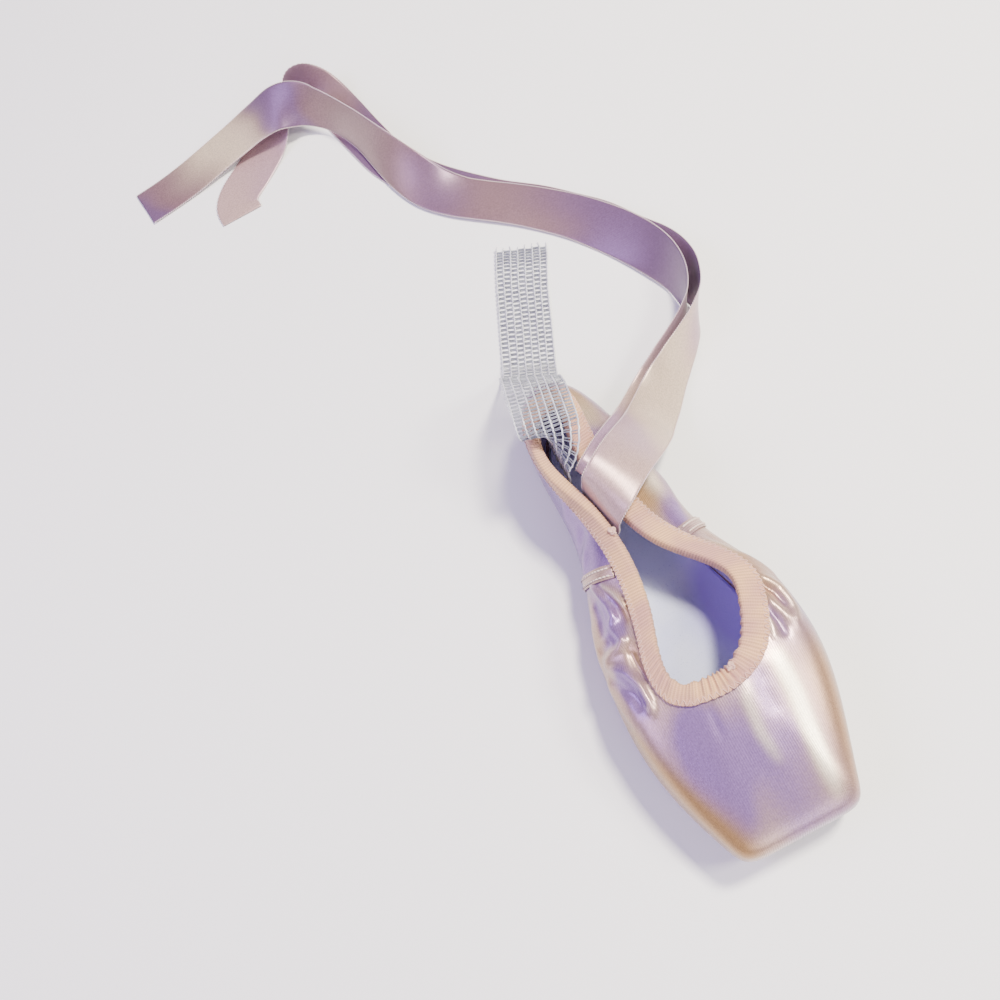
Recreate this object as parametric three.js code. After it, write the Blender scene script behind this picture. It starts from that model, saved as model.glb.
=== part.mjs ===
// A satin pointe shoe standing on its sole, with its drawstring casing, ribbons and heel elastic.
// Millimetres, +Z up. The toe platform faces -Y and the heel faces +Y. The sole rests on z = 0.
import * as THREE from "three";
import { mergeVertices } from "three/addons/utils/BufferGeometryUtils.js";

// Driving dimensions
const GAP = 0.3; // clearance between pieces that touch
const SOLE = { front: -98, back: 106, thick: 3, skived: 1.4, spring: 3.2, arch: 3.2 };
const FLAT = { toe: -72, forefoot: -18, heel: 62 }; // where the sole leaves and meets the floor
const INSOLE = { front: -107, back: 104, thick: 1.3, lift: 0.5, inset: 0, frontRound: 6, backRound: 14 };
const SOCK = { front: -41, back: 103, thick: 0.6, inset: 1, frontRound: 22, backRound: 14 };
const SPINE = { mid: 10.5, reach: 78 }; // line along the foot that the ribs aim at
const EDGE_WALL = 1.3; // cloth at the topline
const LASTING = 0.4; // how far out from the spine the turned-in lasting edge ends, of the half width
const CASING = { outer: 9.5, inner: 5, thick: 1.1, roll: 1.6, clear: 0.8 };
const SEAM = { width: 6.5, thick: 0.7, clear: 0.45, low: 0.3, high: 0.86, rows: 20 };
const RIBBON = { width: 25, thick: 0.5 };
const ELASTIC = { width: 29, thick: 0.9 };
const AROUND_STEPS = 104;
const CENTRE = { x: -0.25, y: -1.05 }; // middle of the shoe's box in the tables' coordinates

// Sections of the last, from the heel's centre to the platform's centre. Each has the widest level
// (y, left and right x, height z), the shoulder's height, the upper corner (how far in and how high),
// the topline on both sides, the wall and the lasting tuck under the foot.
const RIBS = table(
  ["name", "y", "left", "right", "z", "shoulder", "cornerIn", "cornerZ",
    "leftTopX", "leftTopY", "rightTopX", "rightTopY", "topZ", "wall", "tuck"],
  [
    ["heel_back", 116.5, -6.5, -6.5, 20, 33, 3, 43, -7, 97, -7, 97, 52, 2, 7],
    ["heel_corner", 113, -19, 6, 20, 33, 3, 43, -15.5, 95.5, 0, 95, 52, 2, 7],
    ["heel_side", 96, -26, 16, 20, 32, 4, 42, -24.5, 84, -4, 84, 52, 1.8, 6],
    ["heel_front", 70, -27, 22, 19, 29, 5, 40, -24, 64, -7, 66, 51, 1.6, 6],
    ["waist", 45, -26.5, 24.5, 18, 27, 6, 37, -14.5, 44, -4.5, 41, 48, 1.5, 6],
    ["seam", 23, -31.5, 27, 18, 27, 7, 36, -11, 20, 2, 19.5, 45, 1.5, 6],
    ["wing_back", 5, -38.5, 34.5, 18, 28, 6, 37, -13, 2, 15, 5, 44, 1.8, 7],
    ["wing", -14, -44.2, 44.4, 18, 29, 5, 39, -16, -12, 27, -9.5, 44, 2.2, 8],
    ["ball_back", -34, -46.5, 47, 18, 30, 5, 41, -21.5, -27, 24.5, -22, 45.5, 2.6, 8],
    ["ball", -54, -47.5, 46.5, 17, 30, 5, 41, -23.5, -38, 17, -38, 46.5, 2.8, 8],
    ["box", -72, -45.8, 42.2, 17, 29, 5, 40, -20.5, -45, 11.5, -43, 47.5, 3, 7],
    ["box_front", -91, -41, 35.2, 17, 29, 4, 38, -15.5, -47.3, 7, -46, 48, 3, 6],
    ["box_corner", -109, -34, 28, 17, 29, 3, 37, -11.5, -48, 4, -47.6, 48.3, 3, 5],
    ["corner", -118.5, -30, 24.8, 17, 29, 3, 36.5, -8.5, -48.4, 2, -48.2, 48.5, 3, 4],
    ["platform_side", -118.5, -16.5, 12.5, 17, 30, 3, 37, -6, -48.6, 0, -48.6, 48.5, 3, 4],
    ["platform_centre", -118.5, -1.5, -1.5, 17, 30, 3, 37, -3, -48.8, -3, -48.8, 48.5, 3, 4],
  ],
);

// Half widths and centre line of the outsole
const SOLE_OUTLINE = table(
  ["y", "centre", "half"],
  [
    [-98, -1.5, 15], [-88, -1.5, 20.5], [-72, -1, 26], [-54, 0, 28.5], [-34, 0, 27.5], [-14, 0, 24],
    [5, -0.5, 20], [23, -0.5, 17], [45, -0.8, 16], [65, -1.5, 18], [85, -2.8, 19], [98, -3.5, 16.5], [106, -4, 13],
  ],
);

// Edges of the insole, inside the turned-in cloth
const BOARD_OUTLINE = table(
  ["y", "left", "right"],
  [
    [-110, -21.5, 17], [-100, -25, 20], [-91, -29.5, 24], [-80, -31.5, 27], [-72, -32.5, 28.5], [-54, -33.5, 31.5],
    [-34, -32.5, 32], [-14, -29.5, 29], [5, -26, 23.5], [23, -22, 18.5], [45, -18, 15], [60, -16.5, 12.5],
    [70, -17.5, 12], [80, -18, 11], [88, -17.5, 9], [96, -15.5, 6.5], [106, -12, 3],
  ],
);

// Routes of the flat strips: the centre, the heading in plan (degrees from +Y towards +X) and the bank
// (0 face up, 90 on edge with the left edge up, 180 face down)
const ROUTE_COLUMNS = ["x", "y", "z", "heading", "bank"];
const ROUTES = {
  ribbon_left: table(ROUTE_COLUMNS, [
    [-13.4, 42, 33, 77, 0], [-12, 41.6, 38.5, 77, 0], [-10.6, 41.5, 44, 77, 0], [-9.8, 41.8, 51.5, 75, 0],
    [-5, 44, 59, 66, 8], [3.3, 49.4, 60, 56, 14], [11.2, 55.4, 55.6, 50, 20], [19.6, 62, 47.2, 46, 27],
    [28, 69.8, 35.4, 42, 33], [35.5, 78.6, 23, 39, 36], [44.5, 88, 16, 36, 38], [53.2, 96, 13.4, 32, 45],
    [62.6, 103, 13.8, 28, 55], [72.6, 110.2, 14, 24, 66], [81.5, 117.8, 14, 20, 78],
    [87.2, 125.8, 13.5, 14, 92], [90.2, 134.5, 13, 6, 106], [91.2, 145, 11, -2, 122],
    [89.8, 156.5, 9.4, -10, 138], [86.3, 169.5, 6.6, -18, 154], [80, 184, 3.6, -26, 168],
    [70.5, 204, 1.4, -38, 177], [59.1, 218.6, 0.7, -44, 180], [47, 232, 0.7, -46, 180],
    [28.2, 249.2, 0.7, -45, 180], [7.7, 272.6, 0.7, -39, 180], [-2.9, 288.4, 0.7, -34, 180],
    [-11.9, 306.5, 0.7, -24, 180], [-17.6, 330, 0.9, -16, 180], [-22, 351, 2.2, -15, 174],
    [-26.5, 366.5, 5.6, -22, 160], [-31.5, 375.5, 9, -38, 130], [-39, 378, 12.9, -70, 95],
    [-48.5, 374.5, 11.2, -98, 58], [-59, 366.5, 6.2, -118, 24], [-71, 357, 1.8, -127, 5],
    [-86, 345.5, 0.7, -128, 0], [-97, 337.5, 0.7, -145, 0], [-102.5, 330, 0.7, -168, 0],
    [-102.5, 321, 0.7, -190, 0],
  ]),
  ribbon_right: table(ROUTE_COLUMNS, [
    [-3.4, 48.6, 34, 84, 0], [-6.6, 48.6, 40, 84, 0], [-8.4, 48.6, 45.5, 84, 0], [-8.6, 48.8, 50.6, 82, 0],
    [-6.6, 49.8, 54.2, 72, 4], [-1.5, 52.5, 55.6, 58, 14], [6, 58.3, 52.4, 50, 20],
    [14.7, 65.2, 45.2, 46, 27], [23.7, 73.3, 33.6, 42, 33], [31.5, 82.4, 20.4, 39, 36],
    [40.2, 91.2, 12.8, 36, 38], [49, 99, 10.4, 32, 45], [58.4, 106, 11.3, 28, 55],
    [68.3, 113.1, 12.3, 24, 66], [76.8, 120.6, 13.2, 20, 78], [82.3, 128.7, 13.4, 14, 92],
    [85.2, 138, 13.2, 6, 104], [86, 149.5, 12.8, -2, 116], [84, 162, 11.2, -12, 130],
    [79, 177.5, 8.6, -22, 145], [71, 194.5, 5.8, -32, 158], [60, 212, 3.8, -42, 170],
    [45.5, 229, 2.8, -46, 176], [33, 241, 2.7, -46, 178], [21.4, 251, 2.7, -44, 178],
    [10.5, 261, 3.2, -40, 175], [0, 273.5, 5.6, -32, 162], [-8.5, 290.5, 9.6, -24, 142],
    [-14.8, 308, 12.6, -22, 124], [-20.6, 325.5, 14.4, -25, 112], [-28, 341.5, 15.6, -33, 108],
    [-36.6, 352, 18, -45, 114], [-45, 358, 20.4, -62, 132], [-56, 362.5, 20, -78, 155],
    [-69, 366, 14.6, -88, 172], [-84.5, 367.5, 8.4, -95, 178], [-101.5, 366.5, 4.4, -99, 180],
    [-120, 363.5, 2, -100, 180], [-137.5, 361, 0.9, -100, 180], [-153, 359, 1, -99, 180],
  ]),
  heel_elastic: table(ROUTE_COLUMNS, [
    [-15.5, 75, 34, 92, 0], [-15.3, 75, 40.5, 92, 0], [-15.1, 75, 47.5, 92, 0], [-15, 75.2, 54, 90, 0],
    [-15, 75.8, 59, 68, 0], [-14.8, 77.4, 62.6, 47, 0], [-14.3, 80.8, 64.8, 36, 0], [-13.4, 86, 65, 31, 0],
    [-12.2, 92, 63.6, 29, 0], [-10.9, 99, 61.4, 29, 0], [-9.6, 106.5, 58, 29, 0], [-8.6, 113.8, 51, 28, 0],
    [-7.9, 119.5, 40, 28, 0], [-7.2, 125, 28, 28, 0], [-6, 131.5, 15, 28, 0], [-4, 138.5, 5, 28, 0],
    [-1, 147, 1, 28, 0], [4.8, 160.8, 0.8, 27, 0], [16, 187.8, 0.8, 26, 0], [26.9, 211.7, 0.8, 26, 0],
  ]),
};
const STRIP_STEPS = { ribbon_left: 78, ribbon_right: 78, heel_elastic: 57 };

function table(columns, rows) {
  return rows.map((row) => Object.fromEntries(columns.map((name, i) => [name, row[i]])));
}

const clamp = (value, low, high) => Math.min(high, Math.max(low, value));
const mix = (a, b, t) => a + (b - a) * t;

function smoothstep(low, high, value) {
  const t = clamp((value - low) / (high - low), 0, 1);
  return t * t * (3 - 2 * t);
}

// Value of one named column at a position along a table, by smooth monotone pieces
function along(rows, key, column, at) {
  const last = rows.length - 1;
  const place = clamp(at, rows[0][key], rows[last][key]);
  let i = 0;
  while (i < last - 1 && place > rows[i + 1][key]) i += 1;
  const slope = (j) => (rows[j + 1][column] - rows[j][column]) / (rows[j + 1][key] - rows[j][key]);
  const tangent = (j) => {
    if (j === 0) return slope(0);
    if (j === last) return slope(last - 1);
    const [a, b] = [slope(j - 1), slope(j)];
    return a * b <= 0 ? 0 : (2 * a * b) / (a + b);
  };
  const span = rows[i + 1][key] - rows[i][key];
  const t = (place - rows[i][key]) / span;
  const rest = 1 - t;
  return rows[i][column] * rest * rest * (1 + 2 * t) + rows[i + 1][column] * t * t * (3 - 2 * t)
    + tangent(i) * span * t * rest * rest - tangent(i + 1) * span * t * t * rest;
}

// Underside of the sole: flat under the heel and the forefoot, raised at the arch and the toe
function soleBottom(y) {
  const toe = clamp((FLAT.toe - y) / (FLAT.toe - SOLE.front), 0, 1.2);
  const arch = clamp((y - FLAT.forefoot) / (FLAT.heel - FLAT.forefoot), 0, 1);
  return SOLE.spring * toe * toe + SOLE.arch * Math.sin(Math.PI * arch) ** 2;
}

function soleTop(y) {
  return soleBottom(y) + mix(SOLE.thick, SOLE.skived, smoothstep(FLAT.toe, SOLE.front, y));
}

const spineY = (y) => SPINE.mid + SPINE.reach * Math.tanh((y - SPINE.mid) / SPINE.reach);

// Control points of one rib, from the lasting edge under the foot up to the topline
function ribControls(rib, side) {
  const outer = new THREE.Vector2(rib[side], rib.y);
  const top = new THREE.Vector2(rib[`${side}TopX`], rib[`${side}TopY`]);
  const spine = new THREE.Vector2(along(SOLE_OUTLINE, "y", "centre", rib.y), spineY(rib.y));
  const under = (t) => {
    const p = outer.clone().lerp(spine, t);
    return new THREE.Vector3(p.x, p.y, soleTop(p.y) + GAP);
  };
  const reach = outer.distanceTo(spine);
  const inward = (distance, z) => {
    const p = outer.clone().lerp(top, distance / outer.distanceTo(top));
    return new THREE.Vector3(p.x, p.y, z);
  };
  const feather = under(rib.tuck / reach);
  const low = under((0.22 * rib.tuck) / reach);
  low.z += 5;
  const corner = inward(rib.cornerIn, rib.cornerZ);
  const edge = new THREE.Vector3(top.x, top.y, rib.topZ);
  return [
    under(1 - LASTING),
    under(mix(rib.tuck / reach, 1 - LASTING, 0.45)),
    feather,
    low,
    new THREE.Vector3(outer.x, outer.y, rib.z),
    inward(0.12 * rib.cornerIn, rib.shoulder),
    corner,
    corner.clone().lerp(edge, 0.36).add(new THREE.Vector3(0, 0, 0.8)),
    corner.clone().lerp(edge, 0.7).add(new THREE.Vector3(0, 0, 0.6)),
    edge,
  ];
}

// The closed net of ribs: up the right side to the platform and back down the left side
const RIGHT = RIBS.map((rib) => ({ wall: rib.wall, controls: ribControls(rib, "right") }));
const LEFT = RIBS.map((rib) => ({ wall: rib.wall, controls: ribControls(rib, "left") }));
const NET = [...RIGHT, ...LEFT.slice(1, -1).reverse()];

const cubicWeights = (t) => [
  (1 - t) ** 3 / 6,
  (3 * t ** 3 - 6 * t ** 2 + 4) / 6,
  (-3 * t ** 3 + 3 * t ** 2 + 3 * t + 1) / 6,
  t ** 3 / 6,
];

// Weights of the four ribs around a position u, counted in ribs from the heel's centre
function ribWeights(u) {
  const first = Math.floor(u);
  return cubicWeights(u - first).map((weight, i) => ({
    rib: NET[(first + i - 1 + 2 * NET.length) % NET.length],
    weight,
  }));
}

// Point on the outside of the upper: u counts ribs around, v runs from the lasting edge (0) to the topline (1)
function outside(u, v) {
  const levels = RIGHT[0].controls.length;
  const spans = levels - 1;
  const place = clamp(v, 0, 1) * spans;
  const first = Math.min(Math.floor(place), spans - 1);
  const weights = cubicWeights(place - first);
  const point = new THREE.Vector3();
  for (const { rib, weight } of ribWeights(u)) {
    const at = (level) => {
      if (level < 0) return rib.controls[0].clone().multiplyScalar(2).sub(rib.controls[1]);
      if (level >= levels) return rib.controls[levels - 1].clone().multiplyScalar(2).sub(rib.controls[levels - 2]);
      return rib.controls[level];
    };
    weights.forEach((w, i) => point.addScaledVector(at(first + i - 1), w * weight));
  }
  point.z = Math.max(point.z, soleTop(point.y) + GAP);
  return point;
}

function outward(u, v) {
  const step = 1e-3;
  const du = outside(u + step, v).sub(outside(u - step, v));
  const dv = outside(u, Math.min(1, v + step)).sub(outside(u, Math.max(0, v - step)));
  return dv.cross(du).normalize();
}

// Wall thickness: thin under the foot, full on the sides and thin again at the topline
function wallAt(u, v) {
  const full = ribWeights(u).reduce((sum, { rib, weight }) => sum + rib.wall * weight, 0);
  const side = smoothstep(0.26, 0.42, v) * (1 - smoothstep(0.7, 0.95, v));
  return mix(EDGE_WALL, full, side);
}

// Point at a distance off the outside of the upper, inwards where the distance is negative
const offset = (u, v, distance) => outside(u, v).addScaledVector(outward(u, v), distance);

// Position v that lies a given distance below the topline, measured over the surface
function belowTopline(u, distance) {
  const step = 0.01;
  let v = 1;
  let here = outside(u, v);
  for (let left = distance; left > 0 && v > step;) {
    const next = outside(u, v - step);
    const length = here.distanceTo(next);
    v -= step * Math.min(1, left / length);
    left -= length;
    here = next;
  }
  return v;
}

function signedVolume(positions, index) {
  const corner = (i) => new THREE.Vector3().fromArray(positions, 3 * i);
  let total = 0;
  for (let i = 0; i < index.length; i += 3) {
    total += corner(index[i]).dot(corner(index[i + 1]).cross(corner(index[i + 2])));
  }
  return total / 6;
}

// Closed solid through rings of points, joined end to end or capped at both ends
function loft(rings, closed) {
  const size = rings[0].length;
  const positions = rings.flat().flatMap((p) => [p.x, p.y, p.z]);
  const index = [];
  const bands = closed ? rings.length : rings.length - 1;
  for (let i = 0; i < bands; i += 1) {
    const a = i * size;
    const b = ((i + 1) % rings.length) * size;
    for (let j = 0; j < size; j += 1) {
      const k = (j + 1) % size;
      index.push(a + j, a + k, b + k, a + j, b + k, b + j);
    }
  }
  if (!closed) {
    const end = (rings.length - 1) * size;
    for (let j = 1; j < size - 1; j += 1) {
      index.push(0, j + 1, j, end, end + j, end + j + 1);
    }
  }
  if (signedVolume(positions, index) < 0) index.reverse();
  const geometry = new THREE.BufferGeometry();
  geometry.setAttribute("position", new THREE.Float32BufferAttribute(positions, 3));
  geometry.setIndex(index);
  const merged = mergeVertices(geometry, 1e-4);
  merged.computeVertexNormals();
  return merged;
}

const AROUND = Array.from({ length: AROUND_STEPS }, (_, i) => (i / AROUND_STEPS) * NET.length);
// Levels of the shell's facets, closer together at the corners
const LEVELS = [0, 0.12, 0.2, 0.26, 0.31, 0.37, 0.44, 0.51, 0.57, 0.62, 0.67, 0.73, 0.8, 0.87, 0.94, 1];

function upperGeometry() {
  const inner = LEVELS.filter((v, i) => i % 2 === 0 || v > 0.7).reverse();
  return loft(AROUND.map((u) => [
    ...LEVELS.map((v) => outside(u, v)),
    ...inner.map((v) => offset(u, v, -wallAt(u, v))),
  ]), true);
}

// Tape folded over the topline, thick at the roll where the drawstring runs
function casingGeometry() {
  return loft(AROUND.map((u) => {
    const { outer, inner, thick, roll, clear } = CASING;
    const edge = outside(u, 1);
    const normal = outward(u, 1);
    const over = edge.clone().sub(outside(u, 0.985)).normalize();
    const cloth = EDGE_WALL + clear + 0.25;
    const beyond = (out, up) => edge.clone().addScaledVector(normal, out).addScaledVector(over, up);
    const onOutside = (distance, extra) => offset(u, belowTopline(u, distance), clear + extra);
    const onInside = (distance, extra) => {
      const v = belowTopline(u, distance);
      return offset(u, v, -wallAt(u, v) - clear - extra - 0.25);
    };
    return [
      onOutside(outer, 0), onOutside(outer, 0.6 * thick), onOutside(0.65 * outer, thick),
      onOutside(0.25 * outer, roll), beyond(clear + 0.7 * roll, roll), beyond(-0.5 * EDGE_WALL, clear + roll),
      beyond(-cloth - 0.7 * roll, roll), onInside(0.4 * inner, roll), onInside(inner, 0.6 * thick),
      onInside(inner, 0), beyond(-cloth, clear), beyond(clear, clear), onOutside(0.5 * outer, 0),
    ];
  }), true);
}

// Raised seam strip on the outside of the upper, up from the feather at one rib to the casing at another
function seamGeometry(lowRib, highRib) {
  const rows = Array.from({ length: SEAM.rows + 1 }, (_, i) => i / SEAM.rows);
  return loft(rows.map((t) => {
    const u = mix(lowRib, highRib, t);
    const v = mix(SEAM.low, Math.min(SEAM.high, belowTopline(u, CASING.outer + 0.9)), t);
    const spread = outside(u + 0.1, v).distanceTo(outside(u - 0.1, v)) / 0.2;
    const half = SEAM.width / 2 / spread;
    const across = [-1, -0.33, 0.33, 1];
    return [
      ...across.map((k) => offset(u + k * half, v, SEAM.clear)),
      ...across.reverse().map((k) => offset(u + k * half, v, SEAM.clear + SEAM.thick)),
    ];
  }), false);
}

// Flat piece of leather or board that follows the sole's curve, from sections across the shoe
function slabGeometry(outline, bottom, top, places) {
  const chamfer = 0.6;
  return loft(places.map((y) => {
    const { left, right } = outline(y);
    const middle = mix(bottom(y), top(y), 0.4);
    return [
      [left + chamfer, bottom(y)], [right - chamfer, bottom(y)], [right, middle],
      [right, top(y)], [left, top(y)], [left, middle],
    ].map(([x, z]) => new THREE.Vector3(x, y, z));
  }), false);
}

// Places between two ends, crowded towards both ends where the outline rounds off
function crowded(front, back, count) {
  return Array.from({ length: count + 1 }, (_, i) => mix(front, back, (1 - Math.cos((Math.PI * i) / count)) / 2));
}

// Share of the full width near a round end of a given length
function roundEnd(distance, length) {
  const t = clamp(distance / length, 0, 1);
  return Math.sqrt(Math.max(0.02, 1 - (1 - t) ** 2));
}

function outsoleOutline(y) {
  const round = roundEnd(y - SOLE.front, 13) * roundEnd(SOLE.back - y, 13);
  const half = along(SOLE_OUTLINE, "y", "half", y) * round;
  const centre = along(SOLE_OUTLINE, "y", "centre", y);
  return { left: centre - half, right: centre + half };
}

const insoleBottom = (y) => soleTop(y) + GAP + EDGE_WALL + GAP + INSOLE.lift * (1 + 2 * smoothstep(FLAT.toe, SOLE.front, y));
const insoleTop = (y) => insoleBottom(y) + INSOLE.thick;
const sockBottom = (y) => insoleTop(y) + GAP;
const sockTop = (y) => sockBottom(y) + SOCK.thick;

// Outline of a board that lies on the floor of the shoe
function insideOutline(y, { front, back, inset, frontRound, backRound }) {
  const left = along(BOARD_OUTLINE, "y", "left", y) + inset;
  const right = along(BOARD_OUTLINE, "y", "right", y) - inset;
  const centre = (left + right) / 2;
  const half = ((right - left) / 2) * roundEnd(y - front, frontRound) * roundEnd(back - y, backRound);
  return { left: centre - half, right: centre + half };
}

// Smooth curve through values that are evenly spaced in t, from 0 to 1
function through(values, t) {
  const last = values.length - 1;
  const place = clamp(t, 0, 1) * last;
  const i = Math.min(Math.floor(place), last - 1);
  const s = place - i;
  const b = values[i];
  const c = values[i + 1];
  const a = i > 0 ? values[i - 1] : 2 * b - c;
  const d = i + 2 <= last ? values[i + 2] : 2 * c - b;
  return b + 0.5 * s * (c - a + s * (2 * a - 5 * b + 4 * c - d + s * (3 * (b - c) + d - a)));
}

// Flat strip along a route
function stripGeometry(route, width, thick, steps) {
  const at = (column, t) => through(route.map((row) => row[column]), t);
  const place = (t) => new THREE.Vector3(at("x", t), at("y", t), at("z", t));
  const rings = Array.from({ length: steps + 1 }, (_, i) => {
    const t = i / steps;
    const heading = THREE.MathUtils.degToRad(at("heading", t));
    const bank = THREE.MathUtils.degToRad(at("bank", t));
    const tangent = place(Math.min(1, t + 1e-3)).sub(place(Math.max(0, t - 1e-3))).normalize();
    const across = new THREE.Vector3(Math.cos(heading), -Math.sin(heading), 0).multiplyScalar(Math.cos(bank));
    across.z = -Math.sin(bank);
    across.addScaledVector(tangent, -across.dot(tangent)).normalize();
    const normal = across.clone().cross(tangent);
    return [[-1, -1], [1, -1], [1, 1], [-1, 1]].map(([side, face]) => place(t)
      .addScaledVector(across, (side * width) / 2)
      .addScaledVector(normal, (face * thick) / 2));
  });
  return loft(rings, false);
}

const MATERIALS = {
  satin: new THREE.MeshStandardMaterial({ color: "#dcc6c4", roughness: 0.35, metalness: 0 }),
  tape: new THREE.MeshStandardMaterial({ color: "#e3bfae", roughness: 0.75, metalness: 0 }),
  leather: new THREE.MeshStandardMaterial({ color: "#c9a17c", roughness: 0.7, metalness: 0 }),
  board: new THREE.MeshStandardMaterial({ color: "#c3c8d2", roughness: 0.9, metalness: 0 }),
  sock: new THREE.MeshStandardMaterial({ color: "#e6e8f2", roughness: 0.85, metalness: 0 }),
  ribbon: new THREE.MeshStandardMaterial({ color: "#d9bfc4", roughness: 0.3, metalness: 0 }),
  mesh: new THREE.MeshStandardMaterial({ color: "#cfd0d8", roughness: 0.4, metalness: 0 }),
};

const group = new THREE.Group();

function add(name, geometry, material) {
  const mesh = new THREE.Mesh(geometry.translate(-CENTRE.x, -CENTRE.y, 0), material);
  mesh.name = name;
  group.add(mesh);
}

const SEAM_RIB = RIBS.findIndex((rib) => rib.name === "seam");
const strip = (name, { width, thick }) => stripGeometry(ROUTES[name], width, thick, STRIP_STEPS[name]);
const insoleOutline = (y) => insideOutline(y, INSOLE);
const sockOutline = (y) => insideOutline(y, SOCK);

add("upper", upperGeometry(), MATERIALS.satin);
add("outsole", slabGeometry(outsoleOutline, soleBottom, soleTop, crowded(SOLE.front, SOLE.back, 36)), MATERIALS.leather);
add("insole", slabGeometry(insoleOutline, insoleBottom, insoleTop, crowded(INSOLE.front, INSOLE.back, 34)), MATERIALS.board);
add("sock_lining", slabGeometry(sockOutline, sockBottom, sockTop, crowded(SOCK.front, SOCK.back, 26)), MATERIALS.sock);
add("drawstring_casing", casingGeometry(), MATERIALS.tape);
add("side_seam_right", seamGeometry(SEAM_RIB, SEAM_RIB + 0.35), MATERIALS.satin);
add("side_seam_left", seamGeometry(NET.length - SEAM_RIB, NET.length - SEAM_RIB - 0.35), MATERIALS.satin);
add("back_seam", seamGeometry(0, 0), MATERIALS.satin);
add("ribbon_left", strip("ribbon_left", RIBBON), MATERIALS.ribbon);
add("ribbon_right", strip("ribbon_right", RIBBON), MATERIALS.ribbon);
add("heel_elastic", strip("heel_elastic", ELASTIC), MATERIALS.mesh);

export default group;
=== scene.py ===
"""A satin pointe shoe with its ribbons and heel elastic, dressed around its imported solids.

The shoe's own sizes are millimetres, with the toe towards -Y, the heel towards +Y and the floor at z = 0.
"""
import logging
from dataclasses import dataclass, field
from enum import Enum

import bpy
import numpy as np
from mathutils import Matrix, Vector


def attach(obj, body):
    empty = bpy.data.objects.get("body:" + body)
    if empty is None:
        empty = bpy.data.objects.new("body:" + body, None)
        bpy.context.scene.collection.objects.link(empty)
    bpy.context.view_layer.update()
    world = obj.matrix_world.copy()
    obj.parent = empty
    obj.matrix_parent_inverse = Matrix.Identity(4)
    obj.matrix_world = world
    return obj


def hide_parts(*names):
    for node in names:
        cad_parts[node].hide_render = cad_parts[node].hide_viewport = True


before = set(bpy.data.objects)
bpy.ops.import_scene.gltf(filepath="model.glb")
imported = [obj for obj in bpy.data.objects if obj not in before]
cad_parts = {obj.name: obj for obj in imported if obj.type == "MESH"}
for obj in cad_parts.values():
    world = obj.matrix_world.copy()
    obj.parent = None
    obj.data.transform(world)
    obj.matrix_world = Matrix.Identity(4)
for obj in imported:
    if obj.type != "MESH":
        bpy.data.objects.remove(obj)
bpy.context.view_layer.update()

Array = np.ndarray
Colour = tuple[float, float, float]
Point = tuple[float, float, float]
Span = tuple[float, float]
Table = tuple[tuple[float, ...], ...]
Socket = bpy.types.NodeSocket
Material = bpy.types.Material
Piece = bpy.types.Object

MM = 0.001
UV_PER_MM = 0.01
BODY = "root"
SHIFT = np.array([0.25, 1.05, 0.0])
# Painted light carried as point tints: lilac is painted violet shade and reflection, golden is painted warm
# shade on the upper and painted sheen on the ribbons, pale is painted highlight
TINT_NAMES = ("lilac", "golden", "pale")
RIPPLE_WAVES = 7
RIPPLE_PITCH = (0.6, 1.9)
RIPPLE_GAIN = 1.6
NOISE_SPAN = (0.3, 0.7)
FINE_STEP = 1e-3
TAPE_RIB_PITCH = 1.35
log = logging.getLogger("pointe_shoe")


# Small curves and steps


def mix(a: Array | float, b: Array | float, t: Array | float) -> Array:
    """Straight blend from a at t = 0 to b at t = 1."""
    return a + (b - a) * t


def smoothstep(low: float, high: float, value: Array | float) -> Array:
    """Eased step 3t^2 - 2t^3, where t runs from 0 at low to 1 at high."""
    t = np.clip((value - low) / (high - low), 0, 1)
    return t * t * (3 - 2 * t)


def bell(value: Array | float, reach: float) -> Array:
    """Bell exp(-(value / reach)^2): 1 at 0, and about a third at the reach."""
    return np.exp(-((value / reach) ** 2))


def unit(vectors: Array) -> Array:
    """Vectors brought to length 1 along their last axis."""
    return vectors / np.maximum(np.linalg.norm(vectors, axis=-1, keepdims=True), 1e-12)


def walked(path: Array) -> Array:
    """Length along a path of points, from its start up to each point."""
    return np.concatenate([[0], np.cumsum(np.linalg.norm(np.diff(path, axis=0), axis=1))])


def evenly(t: Array, path: Array, spacing: float) -> tuple[Array, Array]:
    """Places on a path at an even spacing, read from the lengths walked along it.

    Args:
        t: the positions of the path's points.
        path: the points themselves, close together.
        spacing: mm between the places.

    Returns:
        The positions t of the places and their lengths in mm from the start.
    """
    length = walked(path)
    steps = np.linspace(0, length[-1], int(length[-1] / spacing) + 1)
    return np.interp(steps, length, t), steps


def laid_flat(across: Array, length: Array) -> Array:
    """Cloth coordinates of a grid: places across for its columns and lengths for its rows."""
    return np.stack(np.broadcast_arrays(across[None], length[:, None]), axis=-1)


def closed(uv: Array) -> Array:
    """Cloth coordinates with the first column once more at the end, for a grid that closes on itself."""
    return np.concatenate([uv, uv[:, :1]], axis=1)


def along(places: Array, values: Array, at: Array) -> Array:
    """Reads a column between its rows by monotone cubic pieces.

    The slope at an inner row is the harmonic mean of its two neighbouring slopes, or 0 where their signs
    differ.

    Args:
        places: the rows' positions, rising.
        values: the column's values at those rows.
        at: positions to read.

    Returns:
        The values at those positions, held at the ends.
    """
    at = np.clip(np.asarray(at, float), places[0], places[-1])
    slopes = np.diff(values) / np.diff(places)
    product = slopes[:-1] * slopes[1:]
    total = np.where(product > 0, slopes[:-1] + slopes[1:], 1)
    inner = np.where(product > 0, 2 * product / total, 0)
    tangents = np.concatenate([slopes[:1], inner, slopes[-1:]])
    i = np.clip(np.searchsorted(places, at, side="left") - 1, 0, len(places) - 2)
    span = places[i + 1] - places[i]
    t = (at - places[i]) / span
    rest = 1 - t
    held = values[i] * rest * rest * (1 + 2 * t) + values[i + 1] * t * t * (3 - 2 * t)
    return held + tangents[i] * span * t * rest * rest - tangents[i + 1] * span * t * t * rest


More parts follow.
